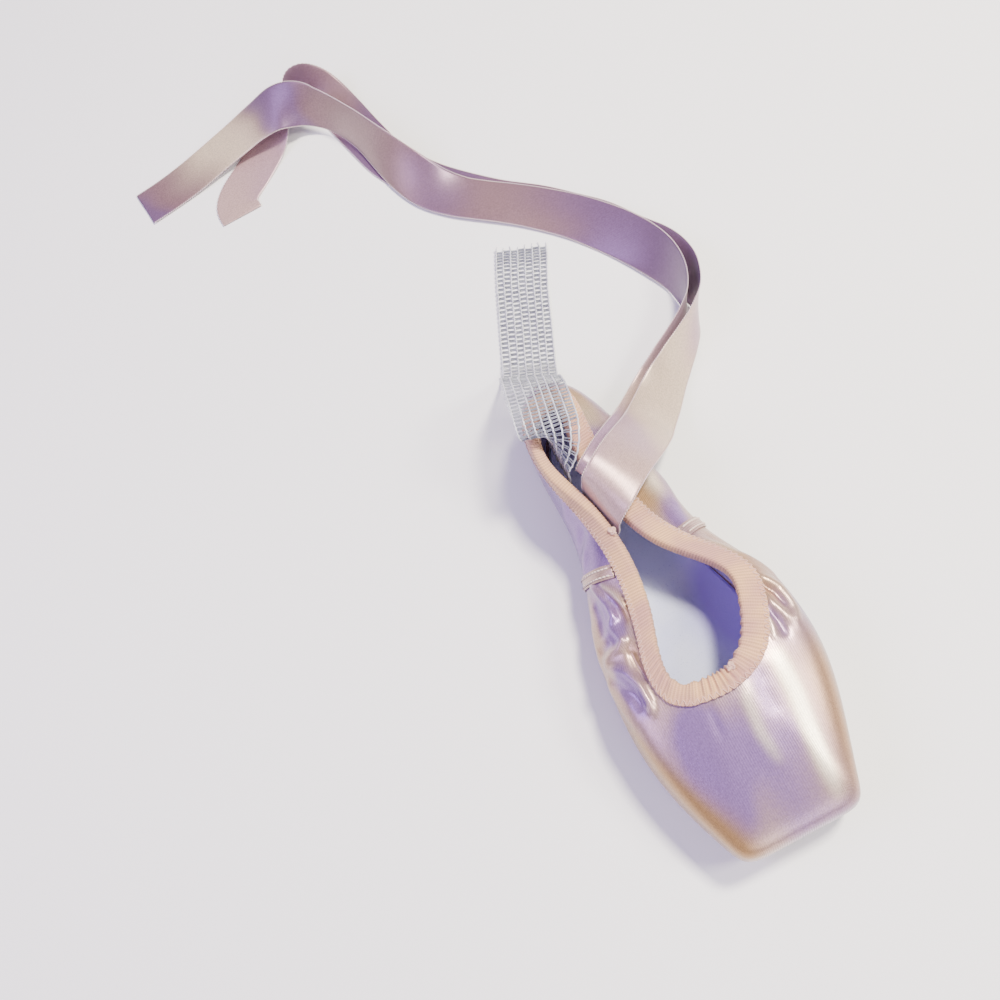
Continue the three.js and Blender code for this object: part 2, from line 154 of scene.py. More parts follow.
def between(a: Array, b: Array, c: Array, d: Array, s: Array | float) -> Array:
    """Uniform Catmull-Rom point a share s of the way from b to c, with a and d outside them."""
    return b + 0.5 * s * (c - a + s * (2 * a - 5 * b + 4 * c - d + s * (3 * (b - c) + d - a)))


def through(values: Array, t: Array) -> Array:
    """Uniform Catmull-Rom curve through rows of values that are evenly spaced in t, from 0 to 1.

    Args:
        values: rows x columns.
        t: positions from 0 to 1.

    Returns:
        One row of values for each t.
    """
    padded = np.vstack([2 * values[0] - values[1], values, 2 * values[-1] - values[-2]])
    place = np.clip(t, 0, 1) * (len(values) - 1)
    i = np.minimum(place.astype(int), len(values) - 2)
    return between(padded[i], padded[i + 1], padded[i + 2], padded[i + 3], (place - i)[:, None])


def ripple(x: Array | float, y: Array | float, seed: int) -> Array:
    """Uneven ripple from about -1 to 1: a mean of sine waves whose directions and phases come from a seed.

    Args:
        x: the first coordinate.
        y: the second coordinate.
        seed: picks the waves.

    Returns:
        The ripple at each pair of coordinates.
    """
    draw = np.random.default_rng(seed)
    angles = draw.uniform(0, 2 * np.pi, RIPPLE_WAVES)
    pitches = draw.uniform(*RIPPLE_PITCH, RIPPLE_WAVES)
    phases = draw.uniform(0, 2 * np.pi, RIPPLE_WAVES)
    total = np.zeros(np.broadcast(x, y).shape)
    for angle, pitch, phase in zip(angles, pitches, phases):
        total = total + np.sin(pitch * (x * np.cos(angle) + y * np.sin(angle)) + phase)
    return total / RIPPLE_WAVES * RIPPLE_GAIN


@dataclass(frozen=True)
class Wave:
    """A ripple along a length: its size, the mm that one unit of it takes, and its seed."""

    size: float
    pitch: float
    seed: int

    def at(self, length: Array | float, lane: float = 0.0) -> Array:
        """Height of the ripple at a length in mm, on one of several lanes."""
        return self.size * ripple(length / self.pitch, lane, self.seed)


# Meshes


@dataclass
class Surface:
    """Points and faces on their way to becoming one mesh, in the shoe's millimetres."""

    points: list[Array] = field(default_factory=list)
    faces: list[list[int]] = field(default_factory=list)
    corners: list[Array] = field(default_factory=list)
    slots: list[int] = field(default_factory=list)
    tints: list[Array] = field(default_factory=list)
    count: int = 0

    def grid(self, points: Array, uv: Array, close: tuple[bool, bool], slot: int = 0,
             tint: Array | None = None) -> bool:
        """Adds a sheet of four-sided faces.

        Args:
            points: rows x columns x 3.
            uv: the cloth's own coordinates in mm, one row or column longer where the grid closes on itself.
            close: whether the rows and the columns join end to end.
            slot: which of the piece's finishes it takes.
            tint: rows x columns x 3, how lilac, golden and pale the cloth is there as painted shade and
                highlight, or none for plain cloth.

        Returns:
            Whether the faces were turned round to point outwards.
        """
        rows, columns = points.shape[:2]
        i, j = np.meshgrid(np.arange(rows - 1 + close[0]), np.arange(columns - 1 + close[1]), indexing="ij")
        steps = ((0, 0), (1, 0), (1, 1), (0, 1))
        index = np.stack([((i + a) % rows) * columns + (j + b) % columns for a, b in steps], axis=-1)
        quads = index.reshape(-1, 4)
        corners = np.stack([uv[i + a, j + b] for a, b in steps], axis=2).reshape(-1, 4, 2)
        turned = self.leans_inward(points.reshape(-1, 3), quads)
        if turned:
            quads, corners = quads[:, ::-1], corners[:, ::-1]
        self.faces.extend((quads + self.count).tolist())
        self.corners.append(corners.reshape(-1, 2))
        self.slots.extend([slot] * len(quads))
        self.points.append(points.reshape(-1, 3))
        width = len(TINT_NAMES)
        self.tints.append(np.zeros((rows * columns, width)) if tint is None else tint.reshape(-1, width))
        self.count += rows * columns
        return turned

    def tube(self, points: Array, uv: Array, slot: int = 0, tint: Array | None = None) -> None:
        """Adds rings of points joined into a tube and capped at both ends.

        Args:
            points: rings x points round each ring x 3.
            uv: rings x (points round + 1) x 2, in mm.
            slot: which of the piece's finishes it takes.
            tint: rings x points round x 3, as for a grid.
        """
        start, ring = self.count, points.shape[1]
        turned = self.grid(points, uv, (False, True), slot, tint)
        near = list(range(start, start + ring))
        far = list(range(self.count - ring, self.count))
        caps = [near[::-1], far] if turned else [near, far[::-1]]
        for cap, row in zip(caps, (0, -1)):
            self.faces.append(cap)
            self.corners.append(np.repeat(uv[row, :1], ring, axis=0))
            self.slots.append(slot)

    @staticmethod
    def leans_inward(points: Array, quads: Array) -> bool:
        """Whether the faces enclose a negative volume: the sum of the corner products over all triangles.

        Args:
            points: points x 3.
            quads: faces x 4 indices of points.

        Returns:
            True where most of the faces point inwards.
        """
        a, b, c, d = (points[quads[:, k]] for k in range(4))
        total = np.einsum("ij,ij->", a, np.cross(b, c)) + np.einsum("ij,ij->", a, np.cross(c, d))
        return bool(total < 0)

    def build(self, name: str, finishes: list[Material]) -> Piece:
        """Makes the mesh and its object, in metres and at the origin.

        Args:
            name: the piece's name.
            finishes: its materials, in the order of the slots.

        Returns:
            The new object, riding on the shoe's body.
        """
        mesh = bpy.data.meshes.new(name)
        points = (np.concatenate(self.points) + SHIFT) * MM
        mesh.from_pydata(points.tolist(), [], self.faces)
        layer = mesh.uv_layers.new(name="cloth")
        layer.data.foreach_set("uv", (np.concatenate(self.corners) * UV_PER_MM).astype(np.float32).ravel())
        mesh.polygons.foreach_set("material_index", np.array(self.slots, np.int32))
        mesh.polygons.foreach_set("use_smooth", np.ones(len(self.faces), bool))
        for tint, values in zip(TINT_NAMES, np.concatenate(self.tints).T):
            attribute = mesh.attributes.new(tint, "FLOAT", "POINT")
            attribute.data.foreach_set("value", values.astype(np.float32))
        for finish in finishes:
            mesh.materials.append(finish)
        mesh.update()
        piece = bpy.data.objects.new(name, mesh)
        bpy.context.scene.collection.objects.link(piece)
        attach(piece, BODY)
        return piece


def thread(surface: Surface, path: Array, radius: float, sides: int, slot: int = 0) -> None:
    """Adds a round thread: a circle of points carried along a path, square to its direction.

    Args:
        surface: the surface that it joins.
        path: points x 3, in mm.
        radius: the thread's radius.
        sides: points round it.
        slot: which finish it takes.
    """
    ahead = unit(np.gradient(path, axis=0))
    guide = np.where(np.abs(ahead[:, 2:]) > 0.9, [[1.0, 0, 0]], [[0, 0, 1.0]])
    side = unit(np.cross(ahead, guide))
    up = np.cross(side, ahead)
    angle = np.linspace(0, 2 * np.pi, sides, endpoint=False)
    ring = radius * (np.cos(angle)[:, None] * side[:, None] + np.sin(angle)[:, None] * up[:, None])
    around = np.linspace(0, 2 * np.pi * radius, sides + 1)
    surface.tube(path[:, None] + ring, laid_flat(around, walked(path)), slot)


# Shader parts


class Graph:
    """A short way to add and join the nodes of one shader tree."""

    def __init__(self, tree: bpy.types.NodeTree) -> None:
        """Keeps the tree that the nodes go into."""
        self.tree = tree

    def node(self, kind: str, **settings: object) -> bpy.types.Node:
        """Adds a node.

        Args:
            kind: Blender's name for the node's type.
            settings: values of its own properties, by name.

        Returns:
            The new node.
        """
        made = self.tree.nodes.new(kind)
        for name, value in settings.items():
            setattr(made, name, value)
        return made

    def feed(self, target: Socket, value: object) -> None:
        """Joins a socket to a target, or sets the target's own value.

        Args:
            target: the input that is fed.
            value: a socket, a number, a vector or a colour.
        """
        if isinstance(value, Socket):
            self.tree.links.new(value, target)
        elif isinstance(value, tuple) and target.type == "RGBA":
            target.default_value = (*value, 1.0)
        else:
            target.default_value = value

    def fill(self, made: bpy.types.Node, values: dict[object, object]) -> bpy.types.Node:
        """Feeds several inputs of a node.

        Args:
            made: the node.
            values: what each input gets, by its name or number.

        Returns:
            The same node.
        """
        for key, value in values.items():
            self.feed(made.inputs[key], value)
        return made

    def math(self, operation: str, *values: object) -> Socket:
        """Adds a Math node on one, two or three values and returns its result."""
        return self.fill(self.node("ShaderNodeMath", operation=operation), dict(enumerate(values))).outputs[0]

    def blend(self, factor: object, first: object, second: object) -> Socket:
        """Adds a colour mix, from the first at factor 0 to the second at 1, and returns its result."""
        made = self.node("ShaderNodeMix", data_type="RGBA")
        return self.fill(made, {0: factor, 6: first, 7: second}).outputs[2]

    def spread(self, value: object, over: Span, out: Span = (0.0, 1.0)) -> Socket:
        """Maps a value from one span to another, eased and held at both ends, and returns it."""
        made = self.node("ShaderNodeMapRange", interpolation_type="SMOOTHSTEP")
        return self.fill(made, dict(enumerate((value, *over, *out)))).outputs[0]

    def noise(self, vector: object, scale: float, detail: float = 2.0, rough: float = 0.5) -> Socket:
        """Adds a noise texture and returns its value."""
        values = {"Vector": vector, "Scale": scale, "Detail": detail, "Roughness": rough}
        return self.fill(self.node("ShaderNodeTexNoise"), values).outputs[0]

    def scaled(self, colour: object, factor: object) -> Socket:
        """Makes a colour lighter or darker by a factor and returns it."""
        made = self.node("ShaderNodeVectorMath", operation="SCALE")
        return self.fill(made, {0: colour, "Scale": factor}).outputs[0]

    def where(self, kind: str) -> Socket:
        """Reads the piece's own Object or UV coordinates."""
        return self.node("ShaderNodeTexCoord").outputs[kind]

    def painted(self, tint: str) -> Socket:
        """Reads one of the tints of painted shade and highlight on the piece, eased from 0 to 1."""
        return self.spread(self.node("ShaderNodeAttribute", attribute_name=tint).outputs["Fac"], (0.0, 1.0))

    def group(self, made: bpy.types.NodeTree, **values: object) -> bpy.types.Node:
        """Places a shader group and feeds its inputs, named with underscores for spaces."""
        placed = self.node("ShaderNodeGroup", node_tree=made)
        return self.fill(placed, {name.replace("_", " "): value for name, value in values.items()})

    def bump(self, height: object, strength: float, distance: float) -> Socket:
        """Adds a Bump node and returns its normal."""
        values = {"Height": height, "Strength": strength, "Distance": distance}
        return self.fill(self.node("ShaderNodeBump"), values).outputs["Normal"]


def new_group(name: str, inputs: dict[str, str],
              outputs: dict[str, str]) -> tuple[Graph, dict[str, Socket], dict[str, Socket]]:
    """Starts a shader group with named sockets.

    Args:
        name: the group's name.
        inputs: socket kind by input name.
        outputs: socket kind by output name.

    Returns:
        A graph on its tree, the sockets that give its inputs and the sockets that take its outputs.
    """
    tree = bpy.data.node_groups.new(name, "ShaderNodeTree")
    for in_out, sockets in (("INPUT", inputs), ("OUTPUT", outputs)):
        for label, kind in sockets.items():
            tree.interface.new_socket(name=label, in_out=in_out, socket_type=f"NodeSocket{kind}")
    graph = Graph(tree)
    given, taken = graph.node("NodeGroupInput"), graph.node("NodeGroupOutput")
    return graph, dict(given.outputs.items()), dict(taken.inputs.items())


class ShaderKit:
    """The effects that more than one finish uses, each built once as a group."""

    def __init__(self) -> None:
        """Builds every group."""
        self.weave = self.build_weave()
        self.patches = self.build_patches()
        self.fuzz = self.build_fuzz()

    def drifting(self, g: Graph, scale: float, first: Colour, second: Colour,
                 balance: object = 0.0) -> Socket:
        """Places the drifting tint of two colours in a material's graph and returns its colour."""
        return g.group(self.patches, Vector=g.where("Object"), Scale=scale, First=first, Second=second,
                       Balance=balance).outputs["Color"]

    def woven(self, g: Graph, ribs_per_mm: float, picks_per_mm: float, slub: float) -> Socket:
        """Places the weave in a material's graph and returns its height."""
        return g.group(self.weave, Vector=g.where("UV"), Ribs_per_mm=ribs_per_mm, Picks_per_mm=picks_per_mm,
                       Slub=slub).outputs["Height"]

    def nap(self, g: Graph, scale: float) -> tuple[Socket, Socket]:
        """Places the nap in a material's graph and returns its height and its specks."""
        placed = g.group(self.fuzz, Vector=g.where("Object"), Scale=scale)
        return placed.outputs["Height"], placed.outputs["Specks"]

    @staticmethod
    def build_weave(warp_height: float = 0.5, weft_height: float = 0.22, wobble_scale: float = 45.0,
                    wobble_gain: float = 1.3, slub_stretch: Point = (150.0, 9.0, 1.0)) -> bpy.types.NodeTree:
        """Threads both ways: the sum of a sine along each of the cloth's directions, broken up by noise.

        Args:
            warp_height: height of the threads counted as ribs.
            weft_height: height of the threads counted as picks.
            wobble_scale: scale of the noise that bends both.
            wobble_gain: how far it bends them, in radians.
            slub_stretch: scale of the long thick places in the yarn, each way.

        Returns:
            The group's tree.
        """
        inputs = {"Vector": "Vector", "Ribs per mm": "Float", "Picks per mm": "Float", "Slub": "Float"}
        g, given, out = new_group("thread_weave", inputs, {"Height": "Float"})
        split = g.fill(g.node("ShaderNodeSeparateXYZ"), {0: given["Vector"]})
        turn = 2 * np.pi / UV_PER_MM
        wobble = g.math("MULTIPLY", g.noise(given["Vector"], wobble_scale), wobble_gain)
        warp = g.math("MULTIPLY", g.math("MULTIPLY", split.outputs[0], given["Ribs per mm"]), turn)
        weft = g.math("MULTIPLY", g.math("MULTIPLY", split.outputs[1], given["Picks per mm"]), turn)
        across = g.math("SINE", g.math("ADD", warp, wobble))
        lengthwise = g.math("SINE", g.math("ADD", weft, wobble))
        stretch = g.fill(g.node("ShaderNodeMapping"), {"Vector": given["Vector"], "Scale": slub_stretch})
        slub = g.math("MULTIPLY", g.noise(stretch.outputs[0], 1.0), given["Slub"])
        ribs, picks = g.math("MULTIPLY", across, warp_height), g.math("MULTIPLY", lengthwise, weft_height)
        g.feed(out["Height"], g.math("ADD", g.math("ADD", ribs, picks), slub))
        return g.tree

    @staticmethod
    def build_patches(fine_scale: float = 900.0, fine_gain: float = 0.08, edge: Span = (0.36, 0.72),
                      rough: float = 0.45) -> bpy.types.NodeTree:
        """Two colours that drift into each other: a wide noise eased round its middle, a finer one over it.

        Args:
            fine_scale: scale of the finer noise.
            fine_gain: how much it adds.
            edge: noise values between which the first colour gives way to the second.
            rough: roughness of the wide noise.

        Returns:
            The group's tree.
        """
        inputs = {"Vector": "Vector", "Scale": "Float", "First": "Color", "Second": "Color",
                  "Balance": "Float"}
        g, given, out = new_group("drifting_tint", inputs, {"Color": "Color"})
        wide = g.noise(given["Vector"], given["Scale"], rough=rough)
        fine = g.math("MULTIPLY", g.noise(given["Vector"], fine_scale), fine_gain)
        mask = g.spread(g.math("ADD", g.math("ADD", wide, fine), given["Balance"]), edge)
        g.feed(out["Color"], g.blend(mask, given["First"], given["Second"]))
        return g.tree

    @staticmethod
    def build_fuzz(detail: float = 5.0, rough: float = 0.62, edge: Span = (0.6, 0.72)) -> bpy.types.NodeTree:
        """Nap and specks: a fine noise for the height, and its highest spots as a mask.

        Args:
            detail: the noise's detail.
            rough: the noise's roughness.
            edge: heights between which a speck appears.

        Returns:
            The group's tree.
        """
        g, given, out = new_group("nap_and_specks", {"Vector": "Vector", "Scale": "Float"},
                                  {"Height": "Float", "Specks": "Float"})
        nap = g.noise(given["Vector"], given["Scale"], detail, rough)
        g.feed(out["Height"], nap)
        g.feed(out["Specks"], g.spread(nap, edge))
        return g.tree


def start_material(name: str) -> tuple[Material, Graph, bpy.types.Node]:
    """Starts a material with one Principled shader joined to its output.

    Args:
        name: the material's name.

    Returns:
        The material, a graph on its tree and the shader.
    """
    material = bpy.data.materials.new(name)
    material.use_nodes = True
    material.node_tree.nodes.clear()
    graph = Graph(material.node_tree)
    shader = graph.node("ShaderNodeBsdfPrincipled")
    graph.fill(graph.node("ShaderNodeOutputMaterial"), {"Surface": shader.outputs[0]})
    return material, graph, shader


@dataclass(frozen=True)
class SatinFinish:
    """Glossy satin: champagne cloth that drifts to lilac, with painted shade and highlights in lilac, gold
    and pale, fine ribs and a soft gloss.
    """

    name: str
    champagne: Colour
    # The cloth's own drift colour, and the colour of painted violet shade
    lilac: Colour
    # Colour of painted warm shade on the upper and of painted sheen on the ribbons
    golden: Colour
    # Colour of painted highlights
    pale: Colour = (0.92, 0.83, 0.68)
    metallic: float = 0.5
    roughness: float = 0.3
    ribs_per_mm: float = 0.95
    picks_per_mm: float = 2.1
    slub: float = 0.9
    relief: float = 0.00003
    drift: float = 15.0
    lilac_gain: float = 0.4
    lilac_start: float = 0.08
    shade_over: Span = (-0.6, 1.3)
    shade: Span = (0.88, 1.08)
    rough_over: Span = (-0.8, 1.4)
    rough: Span = (0.07, -0.05)
    glint: Span = (0.86, 1.14)
    glint_scale: float = 1300.0

    def make(self, kit: ShaderKit) -> Material:
        """Args:
            kit: the shared groups.

        Returns:
            The material.
        """
        material, g, shader = start_material(self.name)
        # Painted light: the lilac tint pushes the drift to lilac as painted violet shade, then painted warm
        # shade in golden and painted highlights in pale are blended over it
        lilac = g.node("ShaderNodeAttribute", attribute_name="lilac").outputs["Fac"]
        shift = g.math("SUBTRACT", g.math("MULTIPLY", lilac, self.lilac_gain), self.lilac_start)
        tint = kit.drifting(g, self.drift, self.champagne, self.lilac, shift)
        colour = g.blend(g.painted("pale"), g.blend(g.painted("golden"), tint, self.golden), self.pale)
        weave = kit.woven(g, self.ribs_per_mm, self.picks_per_mm, self.slub)
        # Painted shade: the colour darkens in the weave's low places
        shade = g.spread(weave, self.shade_over, self.shade)
        glint = g.spread(g.noise(g.where("Object"), self.glint_scale), NOISE_SPAN, self.glint)
        rough = g.spread(weave, self.rough_over, tuple(self.roughness + change for change in self.rough))
        g.fill(shader, {
            "Base Color": g.scaled(colour, g.math("MULTIPLY", shade, glint)), "Roughness": rough,
            "Normal": g.bump(weave, 0.6, self.relief), "Metallic": self.metallic, "Sheen Weight": 0.2,
            "Sheen Roughness": 0.4,
        })
        return material


@dataclass(frozen=True)
class RibbonFinish(SatinFinish):
    """Ribbon satin: finer in its weave, less metallic and less glossy than the upper's."""

    metallic: float = 0.3
    roughness: float = 0.36
    ribs_per_mm: float = 1.2
    picks_per_mm: float = 2.2
    drift: float = 9.0


@dataclass(frozen=True)
class ClothFinish:
    """Matt woven cloth or tape: drifting tints, a plain weave with painted shade in its low places, and a
    little nap.
    """

    name: str
    first: Colour
    second: Colour
    ribs_per_mm: float = 1.0
    picks_per_mm: float = 1.0
    slub: float = 0.5
    relief: float = 0.00012
    roughness: float = 0.82
    drift: float = 60.0
    shade_over: Span = (-0.7, 1.2)
    shade: Span = (0.84, 1.06)
    nap_scale: float = 1400.0
    nap_gain: float = 0.8

    def make(self, kit: ShaderKit) -> Material:
        """Args:
            kit: the shared groups.

        Returns:
            The material.
        """
        material, g, shader = start_material(self.name)
        tint = kit.drifting(g, self.drift, self.first, self.second)
        weave = kit.woven(g, self.ribs_per_mm, self.picks_per_mm, self.slub)
        nap = kit.nap(g, self.nap_scale)[0]
        height = g.math("ADD", weave, g.math("MULTIPLY", nap, self.nap_gain))
        # Painted shade: the colour darkens in the weave's low places, most on the ribbed tape
        g.fill(shader, {
            "Base Color": g.scaled(tint, g.spread(weave, self.shade_over, self.shade)),
            "Roughness": g.spread(nap, NOISE_SPAN, (self.roughness, 0.95)),
            "Normal": g.bump(height, 0.6, self.relief), "Sheen Weight": 0.3, "Sheen Roughness": 0.5,
            "Specular IOR Level": 0.25,
        })
        return material


@dataclass(frozen=True)
class ThreadFinish(ClothFinish):
    """Sewing thread: finer and less matt than cloth."""

    ribs_per_mm: float = 2.0
    picks_per_mm: float = 2.0
    relief: float = 0.0001
    roughness: float = 0.6


@dataclass(frozen=True)
class NapFinish:
    """Suede, board or felted foam: a fine nap, specks of a second colour, soft blotches and painted violet
    shade where the lilac tint is.
    """

    name: str
    base: Colour
    blotch: Colour
    speck: Colour
    grain: float = 1500.0
    relief: float = 0.00015
    # Colour of the painted violet shade
    lilac: Colour = (0.40, 0.32, 0.80)
    roughness: float = 0.85
    drift: float = 40.0
    speck_gain: float = 0.8

    def make(self, kit: ShaderKit) -> Material:
        """Args:
            kit: the shared groups.

        Returns:
            The material.
        """
        material, g, shader = start_material(self.name)
        nap, specks = kit.nap(g, self.grain)
        tint = kit.drifting(g, self.drift, self.base, self.blotch)
        speckled = g.blend(g.math("MULTIPLY", specks, self.speck_gain), tint, self.speck)
        # Painted shade: the lilac tint blends the colour towards violet
        g.fill(shader, {
            "Base Color": g.blend(g.painted("lilac"), speckled, self.lilac),
            "Roughness": g.spread(nap, NOISE_SPAN, (self.roughness, 0.96)),
            "Normal": g.bump(nap, 0.5, self.relief), "Sheen Weight": 0.15, "Specular IOR Level": 0.25,
        })
        return material


@dataclass(frozen=True)
class NettingFinish:
    """Clear, silvery elastic cord, a little see-through, with a knitted ripple."""

    name: str
    base: Colour
    shade: Colour
    roughness: float = 0.3
    drift: float = 240.0
    grain: float = 1100.0
    relief: float = 0.0002

    def make(self, kit: ShaderKit) -> Material:
        """Args:
            kit: the shared groups.

        Returns:
            The material.
        """
        material, g, shader = start_material(self.name)
        nap = kit.nap(g, self.grain)[0]
        g.fill(shader, {
            "Base Color": kit.drifting(g, self.drift, self.base, self.shade, -0.02),
            "Roughness": g.spread(nap, NOISE_SPAN, (self.roughness, 0.5)),
            "Normal": g.bump(nap, 0.4, self.relief), "Metallic": 0.15, "Transmission Weight": 0.2,
            "IOR": 1.45, "Coat Weight": 0.3, "Coat Roughness": 0.2,
        })
        return material


class Finish(Enum):
    """Every finish of the shoe, by what it dresses."""

    # The satin's lilac is its drift colour and painted violet shade, its golden painted warm shade
    SATIN = SatinFinish("champagne_satin", (0.43, 0.285, 0.235), (0.235, 0.135, 0.33), (0.36, 0.205, 0.085))
    LINING = ClothFinish("lining_drill", (0.66, 0.50, 0.60), (0.50, 0.42, 0.74))
    TAPE = ClothFinish("peach_tape", (0.72, 0.42, 0.22), (0.55, 0.29, 0.23), ribs_per_mm=1 / TAPE_RIB_PITCH,
                       picks_per_mm=0.9, relief=0.00022, shade=(0.68, 1.06))
    THREAD = ThreadFinish("pale_thread", (0.80, 0.66, 0.58), (0.70, 0.56, 0.58))
    TAPE_THREAD = ThreadFinish("peach_thread", (0.72, 0.46, 0.36), (0.62, 0.38, 0.32))
    LEATHER = NapFinish("sole_leather", (0.56, 0.38, 0.24), (0.48, 0.32, 0.2), (0.36, 0.23, 0.14))
    BOARD = NapFinish("insole_board", (0.36, 0.44, 0.55), (0.31, 0.38, 0.50), (0.54, 0.6, 0.68))
    SOCK = NapFinish("sock_foam", (0.70, 0.74, 0.98), (0.58, 0.62, 0.94), (0.30, 0.32, 0.64))
    # The ribbons' lilac colours are painted shade over their drift, their golden ones painted sheen
    RIBBON_FRONT = RibbonFinish("ribbon_satin", (0.50, 0.33, 0.29), (0.33, 0.20, 0.31), (0.60, 0.50, 0.34))
    RIBBON_BACK = RibbonFinish("ribbon_reverse", (0.20, 0.112, 0.128), (0.15, 0.082, 0.165),
                               (0.64, 0.51, 0.36))
    RIBBON_EDGE = ThreadFinish("ribbon_edge", (0.80, 0.64, 0.60), (0.70, 0.56, 0.62))
    CORD = NettingFinish("clear_cord", (0.78, 0.79, 0.85), (0.58, 0.58, 0.66))
    RUNG = NettingFinish("clear_rung", (0.33, 0.35, 0.41), (0.20, 0.21, 0.27))


class Wardrobe:
    """The material of every finish, made once."""

    def __init__(self, kit: ShaderKit) -> None:
        self.made = {finish: finish.value.make(kit) for finish in Finish}

    def get(self, *finishes: Finish) -> list[Material]:
        """Picks the materials of some finishes, in their order."""
        return [self.made[finish] for finish in finishes]


# The studio


@dataclass(frozen=True)
class Studio:
    """Camera, floor and lights. The camera's axes are the photograph's own, rolled as it is."""

    eye: Point = (-49.44, -112.97, 501.9)
    right: Point = (0.8819, -0.43847, -0.17319)
    down: Point = (-0.47143, -0.81821, -0.32906)
    forward: Point = (0.00258, 0.37184, -0.92829)
    focus: float = 1072.0
    picture: float = 1000.0
    sensor: float = 36.0
    floor_reach: float = 3.0
    surround: Colour = (0.80, 0.76, 1.0)
    surround_strength: float = 0.55

    def camera(self) -> None:
        """Places the camera where the photograph was taken from."""
        data = bpy.data.cameras.new("camera")
        data.sensor_width = self.sensor
        data.lens = self.sensor * self.focus / self.picture
        data.clip_start = 0.01
        data.clip_end = 20
        camera = bpy.data.objects.new("camera", data)
        right, down, forward = (Vector(v) for v in (self.right, self.down, self.forward))
        turn = Matrix((right, -down, -forward)).transposed()
        camera.matrix_world = Matrix.Translation(Vector(self.eye) * MM) @ turn.to_4x4()
        bpy.context.scene.collection.objects.link(camera)
        bpy.context.scene.camera = camera

    def floor(self) -> None:
        """Lays the plain pale floor."""
        reach = self.floor_reach
        points = [(-reach, -reach, 0), (reach, -reach, 0), (reach, reach, 0), (-reach, reach, 0)]
        mesh = bpy.data.meshes.new("floor")
        mesh.from_pydata(points, [], [(0, 1, 2, 3)])
        material, graph, shader = start_material("pale_floor")
        shade = graph.spread(graph.noise(graph.where("Object"), 3.0), (0.2, 0.8), (0.9, 0.93))
        grey = graph.fill(graph.node("ShaderNodeCombineColor"), {0: shade, 1: shade, 2: shade})
        graph.fill(shader, {"Base Color": grey.outputs[0], "Roughness": 0.9, "Specular IOR Level": 0.1})
        mesh.materials.append(material)
        floor = bpy.data.objects.new("floor", mesh)
        bpy.context.scene.collection.objects.link(floor)

    @staticmethod
    def light(name: str, place: Point, aim: Point, power: float, size: float, colour: Colour) -> None:
        """Adds one square area light.

        Args:
            name: the light's name.
            place: where it stands, in metres.
            aim: the point that it faces, in metres.
            power: watts.
            size: its side, in metres.
            colour: its tint.
        """
        data = bpy.data.lights.new(name, "AREA")
        data.energy = power
        data.size = size
        data.color = colour
        lamp = bpy.data.objects.new(name, data)
        lamp.location = place
        lamp.rotation_euler = (Vector(aim) - Vector(place)).to_track_quat("-Z", "Y").to_euler()
        bpy.context.scene.collection.objects.link(lamp)

    def lights(self) -> None:
        """Sets the warm key, a streak light, the lilac fill, the front light and the pale surround."""
        self.light("key", (0.6, 0.16, 1.42), (0.0, 0.02, 0.0), 52.0, 0.22, (1.0, 0.93, 0.78))
        self.light("streak", (0.8, -0.4, 1.1), (0.0, -0.05, 0.0), 14.0, 0.3, (1.0, 0.95, 0.82))
        self.light("fill", (-1.1, 0.25, 1.2), (0.0, 0.05, 0.0), 20.0, 0.9, (0.66, 0.52, 1.0))
        self.light("front", (0.1, -1.4, 0.9), (0.0, 0.0, 0.0), 8.0, 0.8, (1.0, 0.97, 0.94))
        world = bpy.data.worlds.new("surround")
        world.use_nodes = True
        backdrop = world.node_tree.nodes["Background"]
        backdrop.inputs["Color"].default_value = (*self.surround, 1.0)
        backdrop.inputs["Strength"].default_value = self.surround_strength
        bpy.context.scene.world = world


# Ribbons and elastic


# Routes: x, y and z in mm, then heading and bank in degrees
ROUTE_LEFT = (
    (-13.4, 42, 33, 77, 0), (-12, 41.6, 38.5, 77, 0), (-10.6, 41.5, 44, 77, 0), (-9.8, 41.8, 51.5, 75, 0),
    (-5, 44, 59, 66, 8), (3.3, 49.4, 60, 56, 14), (11.2, 55.4, 55.6, 50, 20), (19.6, 62, 47.2, 46, 27),
    (28, 69.8, 35.4, 42, 33), (35.5, 78.6, 23, 39, 36), (44.5, 88, 16, 36, 38), (53.2, 96, 13.4, 32, 45),
    (62.6, 103, 13.8, 28, 55), (72.6, 110.2, 14, 24, 66), (81.5, 117.8, 14, 20, 78),
    (87.2, 125.8, 13.5, 14, 92), (90.2, 134.5, 13, 6, 106), (91.2, 145, 11, -2, 122),
    (89.8, 156.5, 9.4, -10, 138), (86.3, 169.5, 6.6, -18, 154), (80, 184, 3.6, -26, 168),
    (70.5, 204, 1.4, -38, 177), (59.1, 218.6, 0.7, -44, 180), (47, 232, 0.7, -46, 180),
    (28.2, 249.2, 0.7, -45, 180), (7.7, 272.6, 0.7, -39, 180), (-2.9, 288.4, 0.7, -34, 180),
    (-11.9, 306.5, 0.7, -24, 180), (-17.6, 330, 0.9, -16, 180), (-22, 351, 2.2, -15, 174),
    (-26.5, 366.5, 5.6, -22, 160), (-31.5, 375.5, 9, -38, 130), (-39, 378, 12.9, -70, 95),
    (-48.5, 374.5, 11.2, -98, 58), (-59, 366.5, 6.2, -118, 24), (-71, 357, 1.8, -127, 5),
    (-86, 345.5, 0.7, -128, 0), (-97, 337.5, 0.7, -145, 0), (-102.5, 330, 0.7, -168, 0),
    (-102.5, 321, 0.7, -190, 0),
)
